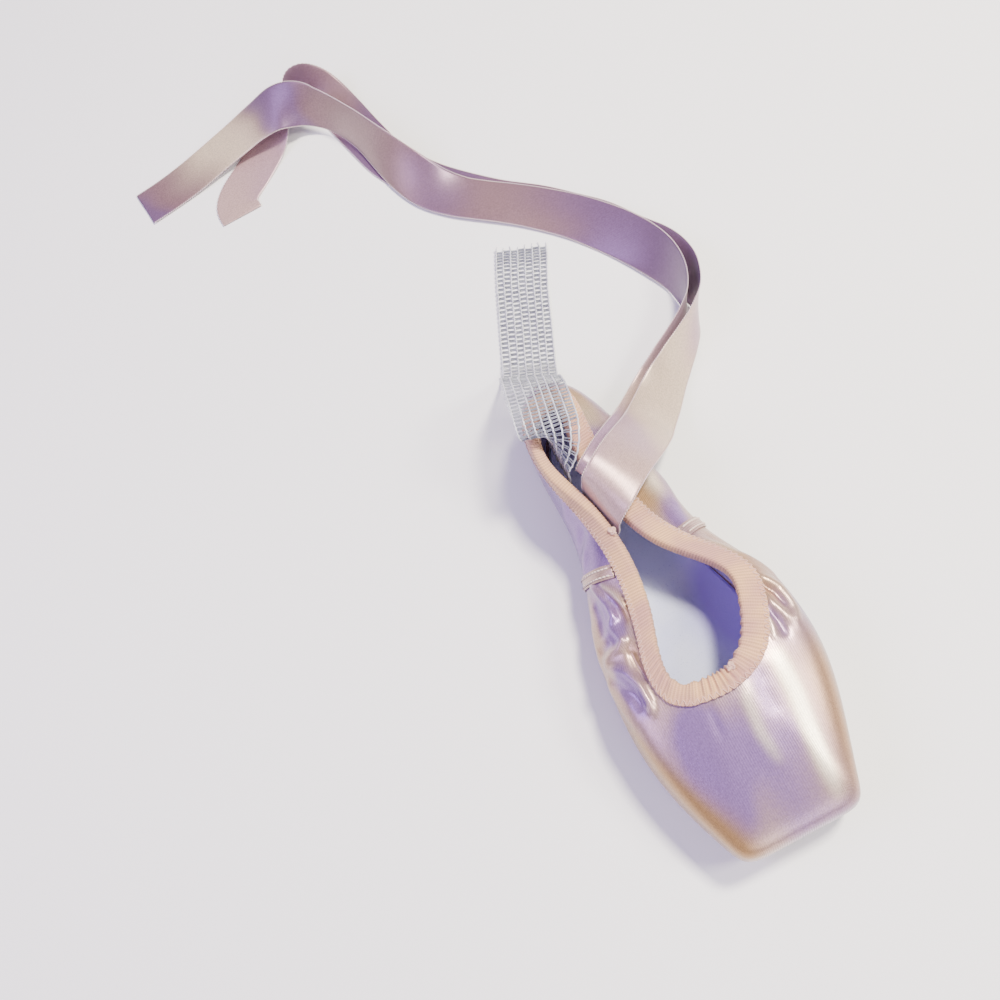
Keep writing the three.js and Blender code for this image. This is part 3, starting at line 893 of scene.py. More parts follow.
ROUTE_RIGHT = (
    (-3.4, 48.6, 34, 84, 0), (-6.6, 48.6, 40, 84, 0), (-8.4, 48.6, 45.5, 84, 0),
    (-8.6, 48.8, 50.6, 82, 0), (-6.6, 49.8, 54.2, 72, 4), (-1.5, 52.5, 55.6, 58, 14),
    (6, 58.3, 52.4, 50, 20), (14.7, 65.2, 45.2, 46, 27), (23.7, 73.3, 33.6, 42, 33),
    (31.5, 82.4, 20.4, 39, 36), (40.2, 91.2, 12.8, 36, 38), (49, 99, 10.4, 32, 45),
    (58.4, 106, 11.3, 28, 55), (68.3, 113.1, 12.3, 24, 66), (76.8, 120.6, 13.2, 20, 78),
    (82.3, 128.7, 13.4, 14, 92), (85.2, 138, 13.2, 6, 104), (86, 149.5, 12.8, -2, 116),
    (84, 162, 11.2, -12, 130), (79, 177.5, 8.6, -22, 145), (71, 194.5, 5.8, -32, 158),
    (60, 212, 3.8, -42, 170), (45.5, 229, 2.8, -46, 176), (33, 241, 2.7, -46, 178),
    (21.4, 251, 2.7, -44, 178), (10.5, 261, 3.2, -40, 175), (0, 273.5, 5.6, -32, 162),
    (-8.5, 290.5, 9.6, -24, 142), (-14.8, 308, 12.6, -22, 124), (-20.6, 325.5, 14.4, -25, 112),
    (-28, 341.5, 15.6, -33, 108), (-36.6, 352, 18, -45, 114), (-45, 358, 20.4, -62, 132),
    (-56, 362.5, 20, -78, 155), (-69, 366, 14.6, -88, 172), (-84.5, 367.5, 8.4, -95, 178),
    (-101.5, 366.5, 4.4, -99, 180), (-120, 363.5, 2, -100, 180), (-137.5, 361, 0.9, -100, 180),
    (-153, 359, 1, -99, 180),
)
ROUTE_ELASTIC = (
    (-15.5, 75, 34, 92, 0), (-15.3, 75, 40.5, 92, 0), (-15.1, 75, 47.5, 92, 0), (-15, 75.2, 54, 90, 0),
    (-15, 75.8, 59, 68, 0), (-14.8, 77.4, 62.6, 47, 0), (-14.3, 80.8, 64.8, 36, 0),
    (-13.4, 86, 65, 31, 0), (-12.2, 92, 63.6, 29, 0), (-10.9, 99, 61.4, 29, 0), (-9.6, 106.5, 58, 29, 0),
    (-8.6, 113.8, 51, 28, 0), (-7.9, 119.5, 40, 28, 0), (-7.2, 125, 28, 28, 0), (-6, 131.5, 15, 28, 0),
    (-4, 138.5, 5, 28, 0), (-1, 147, 1, 28, 0), (4.8, 160.8, 0.8, 27, 0), (16, 187.8, 0.8, 26, 0),
    (26.9, 211.7, 0.8, 26, 0),
)

# Length along the ribbon in mm, then how lilac and how golden its front is, and the same for its reverse;
# lilac is painted shade and golden painted sheen along the ribbon
TINTS_LEFT = (
    (0, 0.1, 0, 0.5, 0), (28, 0.1, 0.1, 0.5, 0), (50, -0.1, 0.2, 0.5, 0), (66, 0.0, 0.2, 0.5, 0),
    (90, -0.4, 0.5, 0.5, 0), (130, -0.5, 0.6, 0.3, 0), (165, 0.2, 0.1, 0.9, 0), (200, 0.5, 0, 1.2, 0),
    (240, 0.5, 0, 1.0, 0), (300, 0.5, 0, 0.3, 0), (345, 0.5, 0, 0.9, 0), (400, 0.6, 0, 0.9, 0),
    (445, 0.8, 0, 0.0, 0.1), (480, 0.6, 0, 0.4, 0), (520, 0.3, 0, 0.3, 0.1), (560, -0.1, 0.2, 0.2, 0),
)
TINTS_RIGHT = (
    (0, 0.1, 0, 0.5, 0), (40, 0.2, 0, 0.5, 0), (90, -0.3, 0.3, 0.4, 0), (150, 0.2, 0, 0.6, 0),
    (190, 0.4, 0, 1.1, 0), (230, 0.4, 0, 0.8, 0), (290, 0.4, 0, 0.1, 0.1), (330, 0.4, 0, 0.3, 0.05),
    (365, 0.4, 0, -0.4, 0.2), (400, 0.4, 0, -0.8, 0.28), (422, 0.5, 0, 0.0, 0.1), (440, 0.5, 0, 1.0, 0),
    (455, 0.5, 0, 0.5, 0.2), (468, 0.5, 0, -0.4, 0.7), (480, 0.3, 0, -0.5, 0.95),
    (494, 0.3, 0, -0.6, 0.85), (508, 0.3, 0, -0.6, 0.55), (522, 0.3, 0, -0.5, 0.25),
    (536, 0.3, 0, -0.1, 0.05), (550, 0.3, 0, 0.9, 0),
)


@dataclass
class Strip:
    """A flat strip on a route of rows x, y, z, heading and bank, the angles at which its width points."""

    name: str
    route: Table
    width: float
    slot: str
    wardrobe: Wardrobe
    fine_points: int = 4001
    path_spacing: float = 2.0

    def frames(self, t: Array) -> tuple[Array, Array, Array]:
        """Works out the strip's centre and directions.

        The width points along (cos h cos b, -sin h cos b, -sin b), less its part along the route.

        Args:
            t: positions from 0 to 1.

        Returns:
            The centres, the directions across and the directions off the face, each points x 3.
        """
        rows = np.array(self.route, float)
        here = through(rows, t)
        after, before = np.minimum(1, t + FINE_STEP), np.maximum(0, t - FINE_STEP)
        ahead = unit(through(rows, after)[:, :3] - through(rows, before)[:, :3])
        heading, bank = np.radians(here[:, 3]), np.radians(here[:, 4])
        level = np.cos(bank)
        across = np.stack([np.cos(heading) * level, -np.sin(heading) * level, -np.sin(bank)], axis=1)
        across = unit(across - ahead * np.sum(across * ahead, axis=1, keepdims=True))
        return here[:, :3], across, np.cross(across, ahead)

    def even(self, spacing: float) -> tuple[Array, Array]:
        """Places along the strip at an even spacing in mm: their positions t and lengths from the start."""
        t = np.linspace(0, 1, self.fine_points)
        return evenly(t, self.frames(t)[0], spacing)

    def declare(self, piece: Piece) -> None:
        """Hides the strip's imported solid, which the piece stands in for.

        Args:
            piece: the strip's object; not used.
        """
        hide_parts(self.name)


@dataclass
class Ribbon(Strip):
    """A satin ribbon: a thin closed strip with a shallow cup and slow ripples, and whipped edges."""

    seed: int = 3
    tints: Table = ()
    thick: float = 0.5
    spacing: float = 1.0
    across_steps: int = 24
    cup: float = 0.5
    wave: float = 0.35
    slow_pitch: float = 26
    quick_pitch: float = 11
    flat_start: float = 40
    tint_lean: float = 7
    tint_waver: float = 5
    tint_pitch: float = 14
    edge_pitch: float = 1.25
    edge_sway: float = 0.22
    edge_rise: float = 0.2
    edge_radius: float = 0.182
    edge_clear: float = 0.26

    def rise(self, k: Array, length: Array) -> Array:
        """Height of the cloth off its route: a cup k^2 - 0.4 across, slow ripples along, none at the start.

        Args:
            k: place across, from -1 to 1.
            length: mm from the start.

        Returns:
            The height in mm at each place.
        """
        slow = ripple(k * 1.3, length / self.slow_pitch, self.seed)
        quick = ripple(k * 2.1, length / self.quick_pitch, self.seed + 1)
        bend = self.cup * (k * k - 0.4) * slow + self.wave * (0.7 * slow + 0.3 * quick)
        return smoothstep(0, self.flat_start, length) * bend

    def build(self) -> list[Piece]:
        """Returns:
            The ribbon's object.
        """
        t, length = self.even(self.spacing)
        centre, across, off = self.frames(t)
        k = np.linspace(-1, 1, self.across_steps + 1)
        places = k * self.width / 2
        lift = self.rise(k[None], length[:, None])
        flat = centre[:, None] + across[:, None] * places[None, :, None]
        half = self.thick / 2 * np.sqrt(np.clip(1.04 - k**4, 0, 1))[None]
        faces = [flat + off[:, None] * (lift + side * half)[..., None] for side in (1, -1)]
        surface = Surface()
        self.add_faces(surface, *faces, laid_flat(places, length), self.tint(length, k))
        self.add_edges(surface)
        finishes = self.wardrobe.get(Finish.RIBBON_FRONT, Finish.RIBBON_BACK, Finish.RIBBON_EDGE)
        piece = surface.build(f"{self.name}_satin", finishes)
        self.declare(piece)
        return [piece]

    def tint(self, length: Array, k: Array) -> Array:
        """Painted shade and sheen round the strip: read along it from the table, and leaning a little across.

        Args:
            length: mm from the start, for each ring.
            k: places across, from -1 to 1.

        Returns:
            Rings x points round x 3: how lilac (painted shade), golden (painted sheen) and pale the front is,
                then the reverse.
        """
        rows = np.array(self.tints, float)
        waver = ripple(length[:, None] / self.tint_pitch, k[None] * 2, self.seed + 4)
        lean = length[:, None] + self.tint_lean * k[None] + self.tint_waver * waver
        amounts = [along(rows[:, 0], rows[:, column], lean) for column in range(1, 5)]
        none = np.zeros_like(lean)
        front, back = np.stack([*amounts[:2], none], axis=-1), np.stack([*amounts[2:], none], axis=-1)
        return np.concatenate([front, back[:, ::-1]], axis=1)

    @staticmethod
    def add_faces(surface: Surface, front: Array, back: Array, uv: Array, tint: Array) -> None:
        """Joins the two faces into one closed strip and gives the reverse its own finish.

        Args:
            surface: the surface that they join.
            front: rings x points across x 3.
            back: the same for the reverse.
            uv: rings x points across x 2.
            tint: rings x points round x 3.
        """
        ring = np.concatenate([front, back[:, ::-1]], axis=1)
        surface.tube(ring, closed(np.concatenate([uv, uv[:, ::-1]], axis=1)), tint=tint)
        column = np.arange(len(surface.faces)) % ring.shape[1]
        surface.slots[:] = np.where(column >= front.shape[1], 1, 0).tolist()

    def add_edges(self, surface: Surface) -> None:
        """Whips a fine thread round both edges: a helix of a short pitch along each.

        Args:
            surface: the surface that it joins.
        """
        t, length = self.even(self.edge_pitch / 5)
        centre, across, off = self.frames(t)
        turn = 2 * np.pi * length / self.edge_pitch
        for side in (-1.0, 1.0):
            lift = self.rise(np.full(len(t), side), length) + self.edge_rise * np.sin(turn)
            out = side * self.width / 2 + self.edge_sway * np.cos(turn)
            path = centre + across * out[:, None] + off * lift[:, None]
            path[:, 2] = np.maximum(path[:, 2], self.edge_clear)
            thread(surface, path, self.edge_radius, 4, 2)


@dataclass
class Elastic(Strip):
    """Netted elastic: lengthwise cords joined by rungs, with a few cut threads at the free end."""

    seed: int = 11
    cords: int = 8
    inset: float = 0.7
    cord_spacing: float = 0.7
    cord_radius: float = 0.42
    cord_lift: float = 0.16
    twist_pitch: float = 1.9
    twist_sway: float = 0.016
    twist_rise: float = 0.14
    rung_spacing: float = 0.5
    rung_points: int = 4
    rung_pitch: float = 2.7
    rung_radius: float = 0.28
    rung_overlap: float = 0.04
    rung_bow: float = 0.22
    rung_tilt: Wave = Wave(0.25, 3, 13)
    drift: Wave = Wave(0.022, 12, 5)
    pair_gap: float = 0.3
    heel_crowding: float = 0.45
    heel_place: float = 36
    heel_reach: float = 16
    end_crowding: float = 0.6
    end_span: Span = (-14, -2)
    loop_reach: float = 0.08
    loose_radius: float = 0.22
    fray_reach: Span = (1.0, 2.6)
    fray_lean: float = 0.6

    def place(self, t: Array, k: Array | float, lift: Array | float) -> Array:
        """Points on the strip.

        Args:
            t: positions along it, from 0 to 1.
            k: places across it, from -1 to 1.
            lift: mm off its face.

        Returns:
            Points x 3.
        """
        centre, across, off = self.frames(t)
        out = np.broadcast_to(k, t.shape) * (self.width / 2 - self.inset)
        return centre + across * out[:, None] + off * np.broadcast_to(lift, t.shape)[:, None]

    def build(self) -> list[Piece]:
        """Returns:
            The elastic's object.
        """
        surface = Surface()
        draw = np.random.default_rng(self.seed)
        t, length = self.even(self.cord_spacing)
        lanes = np.linspace(-1, 1, self.cords)
        for lane in lanes:
            twist = 2 * np.pi * length / self.twist_pitch + draw.uniform(0, 6)
            k = lane + self.wander(length, lane) + self.twist_sway * np.cos(twist)
            path = self.place(t, k, self.cord_lift + self.twist_rise * np.sin(twist))
            thread(surface, path, self.cord_radius, 6)
        self.add_rungs(surface, lanes)
        self.add_loops(surface)
        self.add_frays(surface, lanes, draw)
        piece = surface.build(f"{self.name}_netting", self.wardrobe.get(Finish.CORD, Finish.RUNG))
        self.declare(piece)
        return [piece]

    def wander(self, length: Array, lane: float) -> Array:
        """Small sideways drift of a cord, as a share of half the width."""
        return self.drift.at(length, lane * 5)

    def crowded(self, length: Array) -> Array:
        """Counts the rungs up to each length: they crowd where the strap goes over the heel and at its end.

        Args:
            length: evenly spaced mm from the start.

        Returns:
            The number of rungs up to each.
        """
        over_heel = self.heel_crowding * bell(length - self.heel_place, self.heel_reach)
        at_end = self.end_crowding * smoothstep(*self.end_span, length - length[-1])
        total = np.cumsum(1 + (over_heel + at_end))
        return total / total[0] * (length[1] - length[0]) / self.rung_pitch

    def add_rungs(self, surface: Surface, lanes: Array) -> None:
        """Lays paired rungs between neighbouring cords, each a short thread that bows down between the two.

        Args:
            surface: the surface that they join.
            lanes: the cords' places across, from -1 to 1.
        """
        fine, length = self.even(self.rung_spacing)
        count = self.crowded(length)
        share = np.linspace(-self.rung_overlap, 1 + self.rung_overlap, self.rung_points)
        bow = -self.rung_bow * np.sin(np.pi * np.linspace(0, 1, self.rung_points))
        for index, (first, second) in enumerate(zip(lanes[:-1], lanes[1:])):
            beats = np.arange(0.2 + self.pair_gap * (index % 2), count[-1], 1.0)
            beats = np.concatenate([beats, beats + self.pair_gap])
            for at in np.interp(beats, count, length):
                tilt = self.rung_tilt.at(at, index * 2.0) * (share - 0.5)
                drift = self.wander(np.full(self.rung_points, at), (first + second) / 2)
                path = self.place(np.interp(at + tilt, length, fine), mix(first, second, share) + drift, bow)
                thread(surface, path, self.rung_radius, 5, 1)

    def add_loops(self, surface: Surface) -> None:
        """Runs a row of small loops outside the left cord, standing out by the size of half a sine wave.

        Args:
            surface: the surface that they join.
        """
        fine, length = self.even(self.rung_spacing)
        out = np.abs(np.sin(np.pi * length / self.rung_pitch)) * smoothstep(20, 60, length) * self.loop_reach
        thread(surface, self.place(fine, -1 - out, 0.1), self.loose_radius, 4)

    def add_frays(self, surface: Surface, lanes: Array, draw: np.random.Generator) -> None:
        """Adds short loose ends beyond the cut edge, each bent sideways by the square of its length.

        Args:
            surface: the surface that they join.
            lanes: the cords' places across, from -1 to 1.
            draw: the elastic's own random numbers.
        """
        centre, across = self.frames(np.array([1.0]))[:2]
        ahead = unit(centre - self.frames(np.array([0.99]))[0])[0]
        steps = np.linspace(-0.5, 1, 6)[:, None]
        for lane in lanes:
            start = centre[0] + across[0] * lane * (self.width / 2 - self.inset)
            reach = draw.uniform(*self.fray_reach)
            lean = draw.uniform(-self.fray_lean, self.fray_lean)
            path = start + ahead * reach * steps + across[0] * lean * reach * np.maximum(steps, 0) ** 2
            thread(surface, path, self.loose_radius, 4)


# The shoe's form


RIB_COLUMNS = ("y", "left", "right", "z", "shoulder", "corner_in", "corner_z", "left_top_x", "left_top_y",
               "right_top_x", "right_top_y", "top_z", "wall", "tuck")
RIBS = np.array([
    (116.5, -6.5, -6.5, 20, 33, 3, 43, -7, 97, -7, 97, 52, 2, 7),
    (113, -19, 6, 20, 33, 3, 43, -15.5, 95.5, 0, 95, 52, 2, 7),
    (96, -26, 16, 20, 32, 4, 42, -24.5, 84, -4, 84, 52, 1.8, 6),
    (70, -27, 22, 19, 29, 5, 40, -24, 64, -7, 66, 51, 1.6, 6),
    (45, -26.5, 24.5, 18, 27, 6, 37, -14.5, 44, -4.5, 41, 48, 1.5, 6),
    (23, -31.5, 27, 18, 27, 7, 36, -11, 20, 2, 19.5, 45, 1.5, 6),
    (5, -38.5, 34.5, 18, 28, 6, 37, -13, 2, 15, 5, 44, 1.8, 7),
    (-14, -44.2, 44.4, 18, 29, 5, 39, -16, -12, 27, -9.5, 44, 2.2, 8),
    (-34, -46.5, 47, 18, 30, 5, 41, -21.5, -27, 24.5, -22, 45.5, 2.6, 8),
    (-54, -47.5, 46.5, 17, 30, 5, 41, -23.5, -38, 17, -38, 46.5, 2.8, 8),
    (-72, -45.8, 42.2, 17, 29, 5, 40, -20.5, -45, 11.5, -43, 47.5, 3, 7),
    (-91, -41, 35.2, 17, 29, 4, 38, -15.5, -47.3, 7, -46, 48, 3, 6),
    (-109, -34, 28, 17, 29, 3, 37, -11.5, -48, 4, -47.6, 48.3, 3, 5),
    (-118.5, -30, 24.8, 17, 29, 3, 36.5, -8.5, -48.4, 2, -48.2, 48.5, 3, 4),
    (-118.5, -16.5, 12.5, 17, 30, 3, 37, -6, -48.6, 0, -48.6, 48.5, 3, 4),
    (-118.5, -1.5, -1.5, 17, 30, 3, 37, -3, -48.8, -3, -48.8, 48.5, 3, 4),
])

# Outlines: y, then the sole's middle line and half width, and the boards' left and right edge, in mm
SOLE_OUTLINE = np.array([
    (-98, -1.5, 15), (-88, -1.5, 20.5), (-72, -1, 26), (-54, 0, 28.5), (-34, 0, 27.5), (-14, 0, 24),
    (5, -0.5, 20), (23, -0.5, 17), (45, -0.8, 16), (65, -1.5, 18), (85, -2.8, 19), (98, -3.5, 16.5),
    (106, -4, 13),
], float)
BOARD_OUTLINE = np.array([
    (-110, -21.5, 17), (-100, -25, 20), (-91, -29.5, 24), (-80, -31.5, 27), (-72, -32.5, 28.5),
    (-54, -33.5, 31.5), (-34, -32.5, 32), (-14, -29.5, 29), (5, -26, 23.5), (23, -22, 18.5),
    (45, -18, 15), (60, -16.5, 12.5), (70, -17.5, 12), (80, -18, 11), (88, -17.5, 9), (96, -15.5, 6.5),
    (106, -12, 3),
], float)
CASING_DEPTH = 9.5
NARROWING = 0.27
NARROW_FROM = (9, 13)
NARROW_TO = (27, 29.5)


@dataclass(frozen=True)
class SoleSizes:
    """Named sizes of the sole and the boards in it, in mm."""

    front: float = -98
    thick: float = 3
    skived: float = 1.4
    spring: float = 3.2
    arch: float = 3.2
    toe: float = -72
    forefoot: float = -18
    heel: float = 62
    gap: float = 0.3

    def bottom(self, y: Array) -> Array:
        """Underside: flat at heel and forefoot, a squared rise to the toe and a squared sine at the arch.

        Args:
            y: places along the shoe.

        Returns:
            The heights there.
        """
        toe = np.clip((self.toe - y) / (self.toe - self.front), 0, 1.2)
        arch = np.clip((y - self.forefoot) / (self.heel - self.forefoot), 0, 1)
        return self.spring * toe * toe + self.arch * np.sin(np.pi * arch) ** 2

    def top(self, y: Array) -> Array:
        """Upper face of the sole, thinner towards the skived front."""
        return self.bottom(y) + mix(self.thick, self.skived, smoothstep(self.toe, self.front, y))


@dataclass
class ShoeForm:
    """The upper's outside as a smooth surface: a cubic B-spline over a closed net of ribs.

    u counts ribs from the heel's centre up the right side to the toe platform at 15 and back, and v runs from
    the lasting edge under the foot at 0 to the topline at 1.
    """

    sole: SoleSizes = field(default_factory=SoleSizes)
    edge_wall: float = 1.3
    lasting: float = 0.4
    spine_mid: float = 10.5
    spine_reach: float = 78
    wall_start: Span = (0.26, 0.42)
    wall_end: Span = (0.7, 0.95)
    topline_points: int = 3001
    depth_points: int = 201
    net: Array = None
    walls: Array = None

    def __post_init__(self) -> None:
        """Works out the net of control points, with one more row beyond each end by reflection."""
        right = [self.controls(rib, "right") for rib in RIBS]
        left = [self.controls(rib, "left") for rib in RIBS[1:-1]][::-1]
        net = np.array(right + left)
        first, last = 2 * net[:, :1] - net[:, 1:2], 2 * net[:, -1:] - net[:, -2:-1]
        self.net = np.concatenate([first, net, last], axis=1)
        wall = RIBS[:, RIB_COLUMNS.index("wall")]
        self.walls = np.concatenate([wall, wall[1:-1][::-1]])

    def controls(self, row: Array, side: str) -> Array:
        """Control points of one rib, from the lasting edge up to the topline.

        Args:
            row: the rib's row of the table.
            side: left or right.

        Returns:
            Points x 3.
        """
        rib = dict(zip(RIB_COLUMNS, row))
        outer = np.array([rib[side], rib["y"]])
        top = np.array([rib[f"{side}_top_x"], rib[f"{side}_top_y"]])
        spine_y = self.spine_mid + self.spine_reach * np.tanh((rib["y"] - self.spine_mid) / self.spine_reach)
        spine = np.array([along(SOLE_OUTLINE[:, 0], SOLE_OUTLINE[:, 1], rib["y"]), spine_y])

        def under(t: float, lift: float = 0.0) -> Array:
            """Point on the lasting allowance, a share t of the way to the sole's middle line."""
            p = mix(outer, spine, t)
            return np.array([*p, float(self.sole.top(p[1])) + self.sole.gap + lift])

        def inward(distance: float, z: float) -> Array:
            """Point a distance in from the rib's foot towards its top, at a height."""
            return np.array([*mix(outer, top, distance / np.linalg.norm(outer - top)), z])

        reach = float(np.linalg.norm(outer - spine))
        corner, edge = inward(rib["corner_in"], rib["corner_z"]), np.array([*top, rib["top_z"]])
        return np.array([
            under(1 - self.lasting),
            under(mix(rib["tuck"] / reach, 1 - self.lasting, 0.45)),
            under(rib["tuck"] / reach),
            under(0.22 * rib["tuck"] / reach, 5),
            [*outer, rib["z"]],
            inward(0.12 * rib["corner_in"], rib["shoulder"]),
            corner,
            mix(corner, edge, 0.36) + [0, 0, 0.8],
            mix(corner, edge, 0.7) + [0, 0, 0.6],
            edge,
        ])

    @staticmethod
    def weights(t: Array) -> list[Array]:
        """The four weights of a uniform cubic B-spline."""
        near, far = (3 * t**3 - 6 * t**2 + 4) / 6, (-3 * t**3 + 3 * t**2 + 3 * t + 1) / 6
        return [(1 - t) ** 3 / 6, near, far, t**3 / 6]

    def outside(self, u: Array, v: Array) -> Array:
        """Points on the outside of the upper, kept above the sole.

        Args:
            u: place around, in ribs.
            v: place up, from 0 to 1.

        Returns:
            The points, with one more axis of 3.
        """
        u, v = np.broadcast_arrays(np.asarray(u, float), np.asarray(v, float))
        spans = self.net.shape[1] - 3
        place = np.clip(v, 0, 1) * spans
        row = np.minimum(place.astype(int), spans - 1)
        rib = np.floor(u).astype(int)
        point = np.zeros((*u.shape, 3))
        for i, across in enumerate(self.weights(u - rib)):
            for j, upward in enumerate(self.weights(place - row)):
                point += (across * upward)[..., None] * self.net[(rib + i - 1) % len(self.net), row + j]
        point[..., 2] = np.maximum(point[..., 2], self.sole.top(point[..., 1]) + self.sole.gap)
        return point

    def outward(self, u: Array, v: Array) -> Array:
        """Directions off the outside: the cross product of the steps up and around.

        Args:
            u: place around, in ribs.
            v: place up, from 0 to 1.

        Returns:
            The directions, with one more axis of 3.
        """
        around = self.outside(u + FINE_STEP, v) - self.outside(u - FINE_STEP, v)
        above, below = np.minimum(1, v + FINE_STEP), np.maximum(0, v - FINE_STEP)
        return unit(np.cross(self.outside(u, above) - self.outside(u, below), around))

    def wall(self, u: Array, v: Array) -> Array:
        """Wall thickness: thin under the foot, full on the sides and thin again at the topline.

        Args:
            u: place around, in ribs.
            v: place up, from 0 to 1.

        Returns:
            The thickness in mm.
        """
        u, v = np.broadcast_arrays(np.asarray(u, float), np.asarray(v, float))
        rib = np.floor(u).astype(int)
        count = len(self.walls)
        full = sum(w * self.walls[(rib + i - 1) % count] for i, w in enumerate(self.weights(u - rib)))
        side = smoothstep(*self.wall_start, v) * (1 - smoothstep(*self.wall_end, v))
        return mix(self.edge_wall, full, side)

    def offset(self, u: Array, v: Array, distance: Array | float) -> Array:
        """Points at a distance off the outside, inwards where it is negative."""
        shift = np.broadcast_to(distance, np.broadcast(u, v).shape)
        return self.outside(u, v) + self.outward(u, v) * shift[..., None]

    def below_topline(self, u: Array, distance: Array | float) -> Array:
        """Position v at a distance below the topline, measured over the surface.

        Args:
            u: place around, one axis.
            distance: mm below the topline, for each u or for all.

        Returns:
            The positions v.
        """
        v = np.linspace(1, 0, self.depth_points)
        steps = np.linalg.norm(np.diff(self.outside(u[:, None], v[None]), axis=1), axis=2)
        length = np.concatenate([np.zeros((len(u), 1)), np.cumsum(steps, axis=1)], axis=1)
        wanted = np.broadcast_to(distance, u.shape)
        index = np.clip(np.argmax(length >= wanted[:, None], axis=1), 1, len(v) - 1)
        rows = np.arange(len(u))
        low, high = length[rows, index - 1], length[rows, index]
        return v[index - 1] + (v[index] - v[index - 1]) * (wanted - low) / np.maximum(high - low, 1e-9)

    def around(self, spacing: float) -> tuple[Array, Array]:
        """Places around the topline at an even spacing.

        Args:
            spacing: mm between them.

        Returns:
            The positions u, closed at the end by the first, and their lengths in mm from the heel's centre.
        """
        u = np.linspace(0, len(self.net), self.topline_points)
        return evenly(u, self.outside(u, np.ones_like(u)), spacing)


@dataclass(frozen=True)
class Crease:
    """A soft ridge, or a trough where the rise is negative, along a short path on the cloth, in mm; a ridge's
    back takes a painted highlight and a trough painted lilac shade.
    """

    path: tuple[Point, ...]
    width: float
    rise: float
    painted_highlight: float = 0.0

    def nearness(self, points: Array, width: float) -> Array:
        """Nearness to the path: a bell of the distance to it over a width, faded at both ends.

        Args:
            points: places, with a last axis of 3.
            width: the bell's reach in mm.

        Returns:
            From 0 to 1 at each place.
        """
        path = np.array(self.path, float)
        best = np.full(points.shape[:-1], 1e9)
        place = np.zeros_like(best)
        for i, (a, b) in enumerate(zip(path[:-1], path[1:])):
            run = b - a
            t = np.clip(((points - a) @ run) / (run @ run), 0, 1)
            away = np.linalg.norm(points - a - t[..., None] * run, axis=-1)
            nearer = away < best
            best = np.where(nearer, away, best)
            place = np.where(nearer, (i + t) / (len(path) - 1), place)
        return np.sqrt(np.clip(1 - np.abs(2 * place - 1) ** 4, 0.05, 1)) * bell(best, width)

    def amounts(self, points: Array) -> Array:
        """Painted light on the cloth: a pale painted highlight and less lilac along a ridge's back, painted
        lilac shade in a trough.

        Args:
            points: places, with a last axis of 3.

        Returns:
            How lilac, golden and pale the cloth is at each place, as painted shade and highlight.
        """
        if self.rise < 0:
            return self.nearness(points, self.width)[..., None] * [0.35 * abs(self.rise), 0.0, 0.0]
        back = self.nearness(points, 0.85 * self.width)[..., None] ** 2
        return back * [-0.6 * self.painted_highlight, 0.0, self.painted_highlight]
